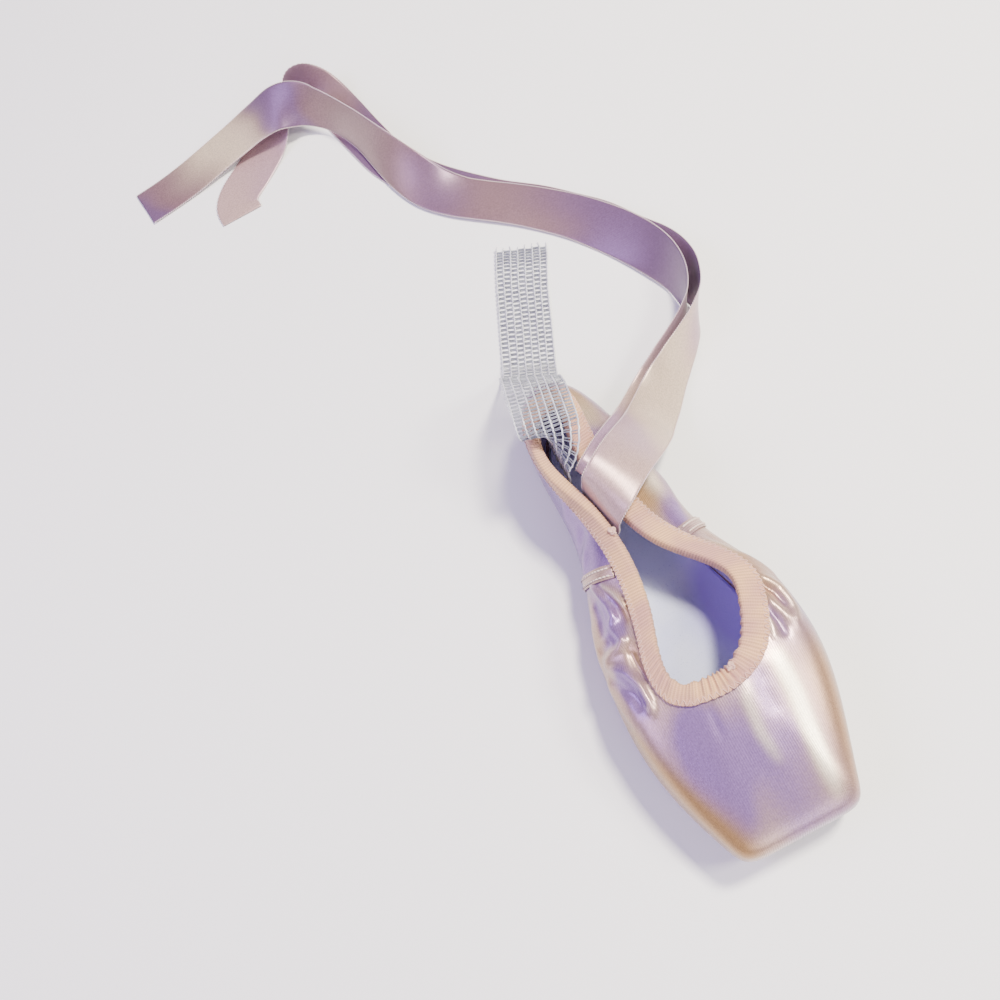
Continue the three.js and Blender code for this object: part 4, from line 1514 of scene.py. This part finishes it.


# Each crease: its path, width and rise in mm, then the strength of its painted highlight; a trough also takes
# painted lilac shade
CREASES = (
    Crease(((-32, 19, 31), (-29.5, 12.8, 35), (-28, 3, 38.8), (-28.5, -3, 39.6),
            (-31.5, -6, 38.8)), 1.7, 2.3, 1.2),
    Crease(((-31.5, -6.5, 38.8), (-30, -14.5, 41.4), (-33, -17, 40.6), (-41, -18.5, 35)), 1.7, 2.5, 1.3),
    Crease(((-41.5, -19.5, 33.5), (-38.5, -23.5, 38.5), (-35.6, -27.5, 41.8), (-33, -35, 43.4),
            (-33, -43.2, 44), (-34.6, -48.6, 43.5)), 1.7, 2.4, 1.4),
    Crease(((-27, 14, 38), (-24, 6, 41), (-22.5, -3, 42.5)), 1.5, 1.1, 0.5),
    Crease(((-34, 9, 31), (-33.5, 0, 34.5), (-36, -9, 35)), 3.0, -2.0),
    Crease(((-34.5, -12, 38.5), (-37.5, -13, 36), (-42, -12.5, 30)), 2.0, -1.6),
    Crease(((-44, -25, 31), (-40.5, -31, 38), (-37.5, -38, 41.8), (-36.8, -45, 42.4)), 2.8, -2.0),
    Crease(((-30, -20, 42.5), (-30.5, -27, 43.5), (-29.5, -36, 44.6)), 1.9, -1.6),
    Crease(((-27.5, 7, 38), (-25.8, 0, 41), (-26, -9, 42)), 1.7, -1.3),
    Crease(((-45.5, -24, 27), (-44.8, -36, 33), (-42, -50, 39)), 3.4, 0.9),
    Crease(((-38, 3, 27), (-41, -8, 27), (-43.5, -19, 27)), 3.2, 0.8),
    Crease(((33.8, -16.6, 42.4), (40.3, -25.5, 39.9), (41, -36.5, 40.2),
            (38.4, -42.9, 41.9)), 2.4, 1.5, 0.8),
    Crease(((28.5, -17.5, 43.6), (30.4, -24.8, 43.6), (34, -33.2, 43.2),
            (36.9, -42.6, 42.5)), 2.4, 1.2, 0.35),
    Crease(((29.5, -28.2, 44.2), (28.5, -34, 44.4), (27.4, -39.1, 44.6),
            (25.6, -45.5, 44.8)), 2.0, 0.8, 0.4),
    Crease(((32, -19, 42.8), (36.8, -27, 42), (38, -35, 41.8)), 1.8, -1.4),
    Crease(((30, -33, 44.4), (31.5, -39, 44.2), (31, -46, 43.8)), 1.8, -1.0),
    Crease(((42, -18, 35), (45.5, -30, 34), (46, -42, 33)), 3.4, -0.8),
    Crease(((33.5, -3, 36), (38.5, -11, 34), (42.5, -20, 31)), 3.0, 0.9),
    Crease(((24, 12, 36), (29.5, 4, 32), (34, -5, 28)), 2.8, -0.9),
    Crease(((20.5, 30, 33), (22, 40, 28), (24, 52, 24)), 4.0, 0.9),
    Crease(((9, 74, 42), (14.5, 78, 36), (18, 84, 28)), 3.4, 1.1, 0.3),
    Crease(((4, 88, 46), (6.5, 93, 40), (9, 99, 32)), 2.8, -1.0),
    Crease(((-22, 60, 42), (-25, 54, 36), (-26.5, 50, 26)), 3.4, 1.0),
    Crease(((-20, 40, 38), (-23.5, 38, 34), (-27, 34, 26)), 3.0, -1.0),
    Crease(((-25, 33, 33), (-28, 27, 28), (-31, 19, 23)), 3.0, 0.8),
    Crease(((-12, -56, 46.8), (-13, -62, 46), (-14.5, -70, 44.4)), 2.2, -0.35),
    Crease(((7, -53, 47), (2.5, -62, 46.2), (0.6, -75.6, 44.5), (2, -92, 41.8)), 5.5, 0.4, 0.42),
    Crease(((14, -50, 46.2), (10.5, -60, 45.8), (10, -72, 44.8)), 3.4, -0.4),
    Crease(((24, -47, 45.2), (22.9, -54.1, 44.8), (21.7, -67.8, 43.3), (19.1, -83.6, 41.8),
            (17.3, -96.5, 40.3), (16, -114, 36.5)), 6.5, 0.45, 0.85),
)


@dataclass(frozen=True)
class Patch:
    """A place where the cloth turns lilac, golden or pale, fading as a bell of the distance, in mm: painted
    violet shade, painted warm shade and painted highlight.
    """

    centre: Point
    reach: float
    lilac: float
    golden: float = 0.0
    pale: float = 0.0

    def amounts(self, points: Array) -> Array:
        """How lilac, golden and pale the cloth is at each point, as painted shade and highlight; it reaches
        further along than across.
        """
        away = np.linalg.norm((points - np.array(self.centre)) * [1, 0.6, 1], axis=-1)
        return bell(away, self.reach)[..., None] * [self.lilac, self.golden, self.pale]


# Painted light on the satin upper: lilac patches are painted violet shade and reflection, golden ones painted
# warm shade, pale ones painted highlights
PATCHES = (
    Patch((-24.6, -79.4, 42.6), 10, 1.0), Patch((-21.6, -64, 44.7), 9, 0.9),
    Patch((-26, -98.6, 39.3), 9, 0.9), Patch((-10, -78, 44), 14, 0.5), Patch((-2, -104, 39), 13, 0.5),
    Patch((-32.1, -1.2, 38.2), 5, 1.2), Patch((-31.3, -9, 40.4), 4, 1.0),
    Patch((-37.9, -29.8, 41.4), 5, 1.2), Patch((-37, -39, 42.4), 5, 1.0),
    Patch((-22, -4.9, 42.7), 4.5, -0.4, 0.7), Patch((-28.4, -23, 43.5), 4.5, -0.4, 0.7),
    Patch((30, -30, 44), 4, 0.6), Patch((33, -26, 43), 5, -0.3, 0.4), Patch((18.5, 27.7, 37), 7, 0.9),
    Patch((9.3, 39.3, 42.3), 8, -0.6, 0.8), Patch((17, 46, 37.6), 7, -0.6, 0.3, 0.45),
    Patch((29.3, 2.3, 37.7), 9, -0.3, 0.5), Patch((33, -7, 40), 8, 0.1, 0.4),
    Patch((-22, 46, 37), 13, 1.3), Patch((-27, 29, 30), 12, 1.3), Patch((5.2, 71, 46.3), 5, 0.8),
    Patch((-46, -46, 25), 11, 0.0, 0.9), Patch((-45, -60, 29), 10, 0.0, 0.8),
    Patch((-43, -75, 31), 10, 0.0, 0.8), Patch((-39.5, -88, 32), 9, 0.0, 0.8),
    Patch((-34, -101, 33), 9, 0.0, 0.8), Patch((-28, -113, 32), 9, 0.0, 0.7),
    Patch((33, -84, 35), 12, -0.3, 0.5), Patch((39.5, -61.5, 38.4), 11, -0.3, 0.5),
    Patch((28, -104, 34), 11, -0.2, 0.4), Patch((20, 68, 30), 13, -0.6, 0.6, 0.2),
    Patch((6.3, 87.5, 46.2), 8, -0.6, 0.5, 0.35), Patch((4.7, 96.6, 46.7), 6, -0.6, 0.8),
    Patch((41, -22, 36), 10, 0.0, 0.5), Patch((-40, -10, 30), 8, 0.0, 0.5),
)

# Painted shade: where the insole and the sock are painted violet under the right-hand wall and towards the
# heel
SHADED = (
    Patch((23, -24, 8), 15, 1.0), Patch((21, -2, 8), 13, 0.7),
)


def casing_depth(u: Array) -> Array:
    """Depth in mm of the casing's outer leaf: full on the right and at the heel, three quarters elsewhere.

    Args:
        u: places around, in ribs.

    Returns:
        The depth at each place.
    """
    place = np.mod(u, 2 * (len(RIBS) - 1))
    narrow = smoothstep(*NARROW_FROM, place) * (1 - smoothstep(*NARROW_TO, place))
    return CASING_DEPTH * (1 - NARROWING * narrow)


@dataclass
class Upper:
    """The satin upper: one hollow shell, creased along the listed paths, and the drill lining inside it."""

    form: ShoeForm
    wardrobe: Wardrobe
    around_steps: int = 520
    up_points: int = 104
    inner_points: int = 40
    top: float = 48.5
    side_span: Span = (0.3, 0.5)
    hem_span: Span = (-0.035, 0.005)
    hem_tuck: float = 0.4
    slow_rise: float = 0.14
    lining_around: int = 261
    lining_up: int = 60
    lining_span: Span = (0.16, 0.985)
    lining_gap: float = 0.06
    lining_thick: float = 0.22

    def creased(self, u: Array, v: Array) -> Array:
        """Outside of the cloth with its creases and ripples, which fade under the foot and at the casing.

        Args:
            u: places around, in one column.
            v: places up, in one row.

        Returns:
            Places around x places up x 3.
        """
        points = self.form.outside(u, v)
        push = sum(crease.rise * crease.nearness(points, crease.width) for crease in CREASES)
        hem = self.form.below_topline(u[:, 0], casing_depth(u[:, 0]) - self.hem_tuck)[:, None]
        side = smoothstep(*self.side_span, v) * (1 - smoothstep(*self.hem_span, v - hem))
        slow = ripple(points[..., 0] / 9, points[..., 1] / 12 + points[..., 2] / 9, 8)
        push = push * side + self.slow_rise * side * slow
        return points + self.form.outward(u, v) * push[..., None]

    def cloth(self, points: Array, normals: Array) -> Array:
        """The cloth's own coordinates: x and y, each moved by the drop below the top times its normal."""
        drop = (self.top - points[..., 2])[..., None]
        return points[..., :2] + drop * normals[..., :2] * [1, -1]

    def build(self) -> list[Piece]:
        """Builds the shell and its lining.

        Returns:
            The upper's object and the lining's.
        """
        form = self.form
        u = np.linspace(0, len(form.net), self.around_steps + 1)[:, None]
        v = np.linspace(0, 1, self.up_points)[None]
        w = np.linspace(1, 0, self.inner_points)[None]
        inner = form.offset(u, w, -form.wall(u, w))
        uv = [self.cloth(form.outside(u, v), form.outward(u, v)), self.cloth(inner, form.outward(u, w))]
        shell = np.concatenate([self.creased(u, v), inner], axis=1)[:-1]
        # Painted shade and highlights: lilac, golden and pale tints from the patches and the creases
        tint = sum(mark.amounts(shell) for mark in (*PATCHES, *CREASES))
        surface = Surface()
        surface.grid(shell, closed(np.concatenate(uv, axis=1)), (True, True), tint=tint)
        piece = surface.build("satin_upper", self.wardrobe.get(Finish.SATIN))
        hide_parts("upper")
        return [piece, self.lining()]

    def lining(self) -> Piece:
        """Builds the drill lining as a thin closed sheet just inside the wall.

        Returns:
            The lining's object.
        """
        form = self.form
        u = np.linspace(0, len(form.net), self.lining_around)[:, None]
        up = np.linspace(*self.lining_span, self.lining_up)[None]
        down = up[:, ::-1]
        depth = form.wall(u, up) + self.lining_gap
        near, far = form.offset(u, up, -depth), form.offset(u, down, -depth[:, ::-1] - self.lining_thick)
        uv = [self.cloth(near, form.outward(u, up)), self.cloth(far, form.outward(u, down))]
        surface = Surface()
        sheet = np.concatenate([near, far], axis=1)[:-1]
        surface.grid(sheet, closed(np.concatenate(uv, axis=1)), (True, True))
        return surface.build("drill_lining", self.wardrobe.get(Finish.LINING))


@dataclass
class Casing:
    """The ribbed tape folded over the topline, gathered on its drawstring, with zigzag stitches below."""

    form: ShoeForm
    wardrobe: Wardrobe
    inner: float = 5
    thick: float = 1.1
    roll: float = 1.6
    clear: float = 0.8
    inner_clear: float = 0.25
    spacing: float = 0.33
    bent_rows: int = 10
    bend_points: int = 40
    rib_rise: float = 0.1
    slack: float = 0.25
    front_reach: float = 42
    side_share: float = 0.3
    side_wave: Wave = Wave(0.5, 14, 21)
    depth_waves: tuple[Wave, ...] = (Wave(0.07, 19, 31), Wave(0.03, 6, 32))
    roll_wave: Wave = Wave(0.22, 12, 33)
    pleat_pitch: float = 3.9
    pleat_rise: float = 0.7
    pleat_wave: Wave = Wave(0.9, 7, 4)
    swell_wave: Wave = Wave(0.34, 8, 17)
    heel_reach: float = 60
    heel_wave: Wave = Wave(0.5, 5.5, 41)
    stitch_pitch: float = 2.3
    stitch_swing: float = 1.5
    stitch_inset: float = 1.2
    stitch_lift: float = 0.12
    stitch_radius: float = 0.24
    knot_size: float = 0.5
    cord_radius: float = 0.55

    def gather(self, length: Array) -> Array:
        """How tightly the tape is gathered, from 0 to 1: most at the throat's front, some at the sides.

        Args:
            length: mm along the topline, up to its whole length.

        Returns:
            The tightness at each place.
        """
        front = bell(length - length[-1] / 2, self.front_reach)
        side = self.side_share * (0.5 + self.side_wave.at(length))
        return np.clip(self.slack + (1 - self.slack) * front + side * (1 - front), 0, 1)

    def section(self, u: Array, length: Array) -> tuple[Array, Array]:
        """Rows of the tape's section: up its outer leaf, over the edge, down its inner leaf and back.

        Args:
            u: places around, in ribs.
            length: their mm along the topline.

        Returns:
            Places x rows x 3, and the middle of the fold at each place.
        """
        form, thick = self.form, self.thick
        edge, normal = form.outside(u, np.ones_like(u)), form.outward(u, np.ones_like(u))
        over = unit(edge - form.outside(u, np.full_like(u, 0.985)))
        cloth = form.edge_wall + self.clear + self.inner_clear
        depth = casing_depth(u) * sum((wave.at(length) for wave in self.depth_waves), start=1.0)
        roll = self.roll * (0.85 + self.roll_wave.at(length))
        up = roll[:, None]

        def beyond(out: Array | float, rise: Array | float) -> Array:
            """Point off the edge, out along the normal and up past the topline."""
            return edge + normal * out + over * rise

        def outside(share: float, extra: Array | float) -> Array:
            """Point on the tape's outer leaf, at a share of its depth."""
            return form.offset(u, form.below_topline(u, share * depth), self.clear + extra)

        def inside(distance: float, extra: Array | float) -> Array:
            """Point on the tape's inner leaf."""
            v = form.below_topline(u, distance)
            return form.offset(u, v, -form.wall(u, v) - self.clear - extra - self.inner_clear)

        under = beyond(-cloth, self.clear)
        rows = [
            outside(1, 0), outside(1, 0.7 * thick), outside(0.8, thick), outside(0.55, thick + 0.15),
            outside(0.25, roll),
            beyond(self.clear + 0.7 * up, up), beyond(-0.5 * form.edge_wall, self.clear + up),
            beyond(-cloth - 0.7 * up, up), inside(0.4 * self.inner, roll), inside(self.inner, 0.6 * thick),
            inside(self.inner, 0), under, beyond(self.clear, self.clear), outside(0.5, 0),
        ]
        return np.stack(rows, axis=1), mix(edge, under, 0.5)

    def bulge(self, length: Array, lift: Array) -> Array:
        """Height that the tape stands off its section: ribs, and pleats and swellings where it is gathered.

        Args:
            length: mm along the topline.
            lift: share of the swelling at each point of the section.

        Returns:
            Places x points of the section.
        """
        tight = self.gather(length)
        ribs = np.cos(2 * np.pi * length / TAPE_RIB_PITCH)
        pleat = np.cos(2 * np.pi * (length / self.pleat_pitch + self.pleat_wave.at(length)))
        from_heel = np.minimum(length, length[-1] - length)
        lump = bell(from_heel, self.heel_reach) * self.heel_wave.at(length)
        swell = tight * (self.pleat_rise * pleat * tight**2 + self.swell_wave.at(length)) + lump
        return self.rib_rise * ribs[:, None] + swell[:, None] * lift

    def ring(self, u: Array, length: Array) -> Array:
        """The tape's section at each place: its first rows bent smoothly and pushed out, the rest straight.

        Args:
            u: places around, in ribs.
            length: their mm along the topline.

        Returns:
            Places x points of the section x 3.
        """
        rows, core = self.section(u, length)
        last = self.bent_rows - 1
        share = np.linspace(0, last, self.bend_points)
        smooth = np.stack([self.blend_rows(rows, s, last) for s in share], axis=1)
        lift = np.sin(np.pi * np.clip(share / last, 0.03, 0.97)) ** 0.5
        off = unit(smooth - core[:, None])
        smooth = smooth + off * (self.bulge(length, lift) * lift)[..., None]
        return np.concatenate([smooth, rows[:, self.bent_rows:]], axis=1)

    @staticmethod
    def blend_rows(rows: Array, share: float, last: int) -> Array:
        """Catmull-Rom point between the section's rows, at a share counted in rows.

        Args:
            rows: places x rows x 3.
            share: where between the rows, from 0 to the last.
            last: the last row that is bent.

        Returns:
            One point for each place.
        """
        i = min(int(share), last - 1)
        before, after = rows[:, max(i - 1, 0)], rows[:, min(i + 2, last)]
        return between(before, rows[:, i], rows[:, i + 1], after, share - i)

    def build(self) -> list[Piece]:
        """Builds the tape, its stitches and the two knots of its drawstring.

        Returns:
            Their objects.
        """
        u, length = self.form.around(self.spacing)
        rings = self.ring(u, length)[:-1]
        girth = walked(rings[0])
        uv = laid_flat(np.append(girth, girth[-1] + 1), length)[..., ::-1]
        surface = Surface()
        surface.grid(rings, uv, (True, True))
        piece = surface.build("gathered_casing", self.wardrobe.get(Finish.TAPE))
        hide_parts("drawstring_casing")
        return [
            piece,
            self.stitches(),
            self.knot("drawstring_knot", (3.2, -47.2, 51.6), 35),
            self.knot("tie_knot", (-11.2, 29.3, 49.2), 110),
        ]

    def knot(self, name: str, centre: Point, lean: float) -> Piece:
        """Ties a small overhand knot of drawstring cord: a trefoil curve with two short ends.

        Args:
            name: the piece's name.
            centre: the knot's middle, in mm.
            lean: how far it is turned about the upright, in degrees.

        Returns:
            The knot's object.
        """
        t = np.linspace(-0.32, 2 * np.pi + 0.32, 70)
        x = np.sin(t) + 2 * np.sin(2 * t)
        y = np.cos(t) - 2 * np.cos(2 * t)
        curve = np.stack([x, y, -0.8 * np.sin(3 * t)], axis=1) * self.knot_size
        tail = np.linspace(1, 0, 8)[:, None]
        near = curve[0] + (curve[0] - curve[3]) * 2.2 * tail + [0, 0, -0.5] * tail**2
        far = curve[-1] + (curve[-1] - curve[-4]) * 2.6 * tail[::-1] + [0, 0, -0.6] * tail[::-1] ** 2
        path = np.concatenate([near[:-1], curve, far[1:]])
        turn = np.radians(lean)
        spin = np.array([[np.cos(turn), -np.sin(turn), 0], [np.sin(turn), np.cos(turn), 0], [0, 0, 1]])
        surface = Surface()
        thread(surface, path @ spin.T + np.array(centre), self.cord_radius, 8)
        return surface.build(name, self.wardrobe.get(Finish.TAPE_THREAD))

    def stitches(self) -> Piece:
        """Runs a zigzag thread along the tape's lower edge: a cosine of the pitch, cut off at 1 mm each way.

        Returns:
            The thread's object.
        """
        u, length = self.form.around(self.stitch_pitch / 6)
        swing = np.clip(self.stitch_swing * np.cos(2 * np.pi * length / self.stitch_pitch), -1, 1)
        v = self.form.below_topline(u, casing_depth(u) - self.stitch_inset + swing)
        path = self.form.offset(u, v, self.clear + self.thick + self.stitch_lift)
        surface = Surface()
        thread(surface, path[:-2], self.stitch_radius, 5)
        return surface.build("casing_stitches", self.wardrobe.get(Finish.TAPE_THREAD))


@dataclass
class Seam:
    """A raised seam strip on a quarter, with two rows of stitches."""

    form: ShoeForm
    wardrobe: Wardrobe
    node: str
    low_rib: float
    high_rib: float
    width: float = 6.5
    thick: float = 0.7
    clear: float = 0.45
    low: float = 0.3
    high: float = 0.86
    below_casing: float = 0.9
    up_points: int = 90
    across_points: int = 15
    groove_place: float = 0.62
    groove_reach: float = 0.14
    groove_depth: float = 0.55
    stitch_pitch: float = 2.1
    stitch_row: float = 0.55
    stitch_sunk: float = 0.55
    stitch_gap: float = 0.08
    stitch_radius: float = 0.36
    stitch_bow: float = 0.5
    stitch_points: int = 6

    def track(self, t: Array, k: float) -> tuple[Array, Array]:
        """Places on the upper along the seam.

        Args:
            t: positions up it, from 0 to 1.
            k: place across it, from -1 to 1.

        Returns:
            The positions u and v.
        """
        u = mix(self.low_rib, self.high_rib, t)
        top = np.minimum(self.high, self.form.below_topline(u, casing_depth(u) + self.below_casing))
        v = mix(self.low, top, t)
        step = self.form.outside(u + 0.1, v) - self.form.outside(u - 0.1, v)
        return u + k * self.width / 2 / (np.linalg.norm(step, axis=-1) / 0.2), v

    def build(self) -> list[Piece]:
        """Builds the strip and its stitches. Its face sinks by a bell at each row of stitches.

        Returns:
            The strip's object.
        """
        t = np.linspace(0, 1, self.up_points)
        across = np.linspace(-1, 1, self.across_points)
        tops, bottoms = [], []
        for k in across:
            u, v = self.track(t, k)
            groove = self.groove_depth * bell(abs(k) - self.groove_place, self.groove_reach)
            tops.append(self.form.offset(u, v, self.clear + self.thick * (1 - groove - 0.4 * abs(k) ** 8)))
            bottoms.append(self.form.offset(u, v, self.clear))
        places = np.concatenate([across, across[::-1], across[:1]]) * self.width / 2
        surface = Surface()
        surface.tube(np.stack([*tops, *bottoms[::-1]], axis=1), laid_flat(places, t * 40))
        self.add_stitches(surface)
        piece = surface.build(f"{self.node}_sewn", self.wardrobe.get(Finish.SATIN, Finish.THREAD))
        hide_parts(self.node)
        return [piece]

    def add_stitches(self, surface: Surface) -> None:
        """Runs two rows of short stitches along the strip: each bows up between its two holes.

        Args:
            surface: the surface that they join.
        """
        t = np.linspace(0, 1, 400)
        length = walked(self.form.offset(*self.track(t, 0.0), self.clear))
        bow = self.stitch_bow * np.sin(np.pi * np.linspace(0, 1, self.stitch_points))
        lift = self.clear + self.stitch_sunk * self.thick + bow
        gap = self.stitch_gap
        for k in (-self.stitch_row, self.stitch_row):
            for i in range(int(length[-1] / self.stitch_pitch)):
                run = np.linspace(i + gap, i + 1 - gap, self.stitch_points) * self.stitch_pitch
                u, v = self.track(np.interp(run, length, t), k)
                thread(surface, self.form.offset(u, v, lift), self.stitch_radius, 6, 1)


@dataclass(frozen=True)
class BoardSizes:
    """One flat piece: its node, name, finish and slot, and its two ends, inset and round ends in mm."""

    node: str
    piece: str
    finish: Finish
    slot: str
    front: float
    back: float
    inset: float
    front_round: float
    back_round: float


class Board(Enum):
    """The three flat pieces under the foot."""

    OUTSOLE = BoardSizes("outsole", "leather_outsole", Finish.LEATHER, "leather", -98, 106, 0, 13, 13)
    INSOLE = BoardSizes("insole", "insole_board", Finish.BOARD, "board", -107, 104, 0, 6, 14)
    SOCK = BoardSizes("sock_lining", "sock_pad", Finish.SOCK, "sock", -41, 103, 1, 22, 14)


@dataclass
class Boards:
    """Outsole, insole and sock lining: slabs that follow the sole's curve, with softly rounded edges."""

    form: ShoeForm
    wardrobe: Wardrobe
    insole_thick: float = 1.3
    insole_lift: float = 0.5
    sock_thick: float = 0.6
    columns: int = 30
    rows: int = 150
    edge_round: float = 1.2
    edge_share: float = 0.25

    def heights(self, board: Board, y: Array) -> tuple[Array, Array]:
        """Bottom and top of a board.

        Args:
            board: which of the three.
            y: places along the shoe.

        Returns:
            The heights of its two faces there.
        """
        sole = self.form.sole
        if board is Board.OUTSOLE:
            return sole.bottom(y), sole.top(y)
        lift = self.insole_lift * (1 + 2 * smoothstep(sole.toe, sole.front, y))
        low = sole.top(y) + 2 * sole.gap + self.form.edge_wall + lift
        if board is Board.INSOLE:
            return low, low + self.insole_thick
        low = low + self.insole_thick + sole.gap
        return low, low + self.sock_thick

    @staticmethod
    def outline(board: Board, y: Array) -> tuple[Array, Array]:
        """Left and right edge of a board, rounded off at both ends by a quarter ellipse.

        Args:
            board: which of the three.
            y: places along the shoe.

        Returns:
            The two edges' x there.
        """

        def rounded(distance: Array, reach: float) -> Array:
            """Share of the full width near a round end."""
            return np.sqrt(np.maximum(0.02, 1 - (1 - np.clip(distance / reach, 0, 1)) ** 2))

        sizes = board.value
        share = rounded(y - sizes.front, sizes.front_round) * rounded(sizes.back - y, sizes.back_round)
        if board is Board.OUTSOLE:
            centre = along(SOLE_OUTLINE[:, 0], SOLE_OUTLINE[:, 1], y)
            half = along(SOLE_OUTLINE[:, 0], SOLE_OUTLINE[:, 2], y) * share
            return centre - half, centre + half
        left = along(BOARD_OUTLINE[:, 0], BOARD_OUTLINE[:, 1], y) + sizes.inset
        right = along(BOARD_OUTLINE[:, 0], BOARD_OUTLINE[:, 2], y) - sizes.inset
        half = (right - left) / 2 * share
        return (left + right) / 2 - half, (left + right) / 2 + half

    def slab(self, board: Board) -> Piece:
        """Builds one board as closed rings across the shoe, its edge rounded by a quarter circle.

        Args:
            board: which of the three.

        Returns:
            The board's object.
        """
        sizes = board.value
        y = mix(sizes.front, sizes.back, (1 - np.cos(np.pi * np.linspace(0, 1, self.rows))) / 2)
        left, right = self.outline(board, y)
        low, high = self.heights(board, y)
        k = np.sin(np.linspace(-np.pi / 2, np.pi / 2, self.columns))
        x = mix(left[:, None], right[:, None], (k + 1) / 2)
        middle, half = (low + high)[:, None] / 2, (high - low)[:, None] / 2
        edge = np.minimum(x - left[:, None], right[:, None] - x)
        rest = 1 - np.clip(edge / (self.edge_round * half), 0, 1)
        swell = np.maximum(np.sqrt(np.clip(1 - rest**2, 0.0, 1)), self.edge_share)
        depth = np.broadcast_to(y[:, None], x.shape)
        faces = [np.stack([x, depth, middle + side * half * swell], axis=-1) for side in (1, -1)]
        ring = np.concatenate([faces[0], faces[1][:, ::-1]], axis=1)
        # The insole and the sock take painted violet shade from SHADED
        tint = None if board is Board.OUTSOLE else sum(patch.amounts(ring) for patch in SHADED)
        surface = Surface()
        surface.tube(ring, closed(ring[..., :2]), tint=tint)
        piece = surface.build(sizes.piece, self.wardrobe.get(sizes.finish))
        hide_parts(sizes.node)
        return piece

    def build(self) -> list[Piece]:
        """Builds the three boards."""
        return [self.slab(board) for board in Board]


def main() -> None:
    """Builds the studio, the strips and the shoe in order and reports each piece."""
    logging.basicConfig(level=logging.INFO, format="%(message)s")
    studio = Studio()
    studio.camera()
    wardrobe = Wardrobe(ShaderKit())
    form = ShoeForm()
    parts = [
        Ribbon("ribbon_left", ROUTE_LEFT, 25, "ribbon", wardrobe, seed=3, tints=TINTS_LEFT),
        Ribbon("ribbon_right", ROUTE_RIGHT, 25, "ribbon", wardrobe, seed=9, tints=TINTS_RIGHT),
        Elastic("heel_elastic", ROUTE_ELASTIC, 29, "mesh", wardrobe),
        Upper(form, wardrobe),
        Casing(form, wardrobe),
        Seam(form, wardrobe, "side_seam_right", 5, 5.35),
        Seam(form, wardrobe, "side_seam_left", 25, 24.65),
        Seam(form, wardrobe, "back_seam", 0, 0),
        Boards(form, wardrobe),
    ]
    for part in parts:
        for piece in part.build():
            log.info("%s: %d faces", piece.name, len(piece.data.polygons))
    studio.floor()
    studio.lights()


if __name__ == "__main__":
    main()
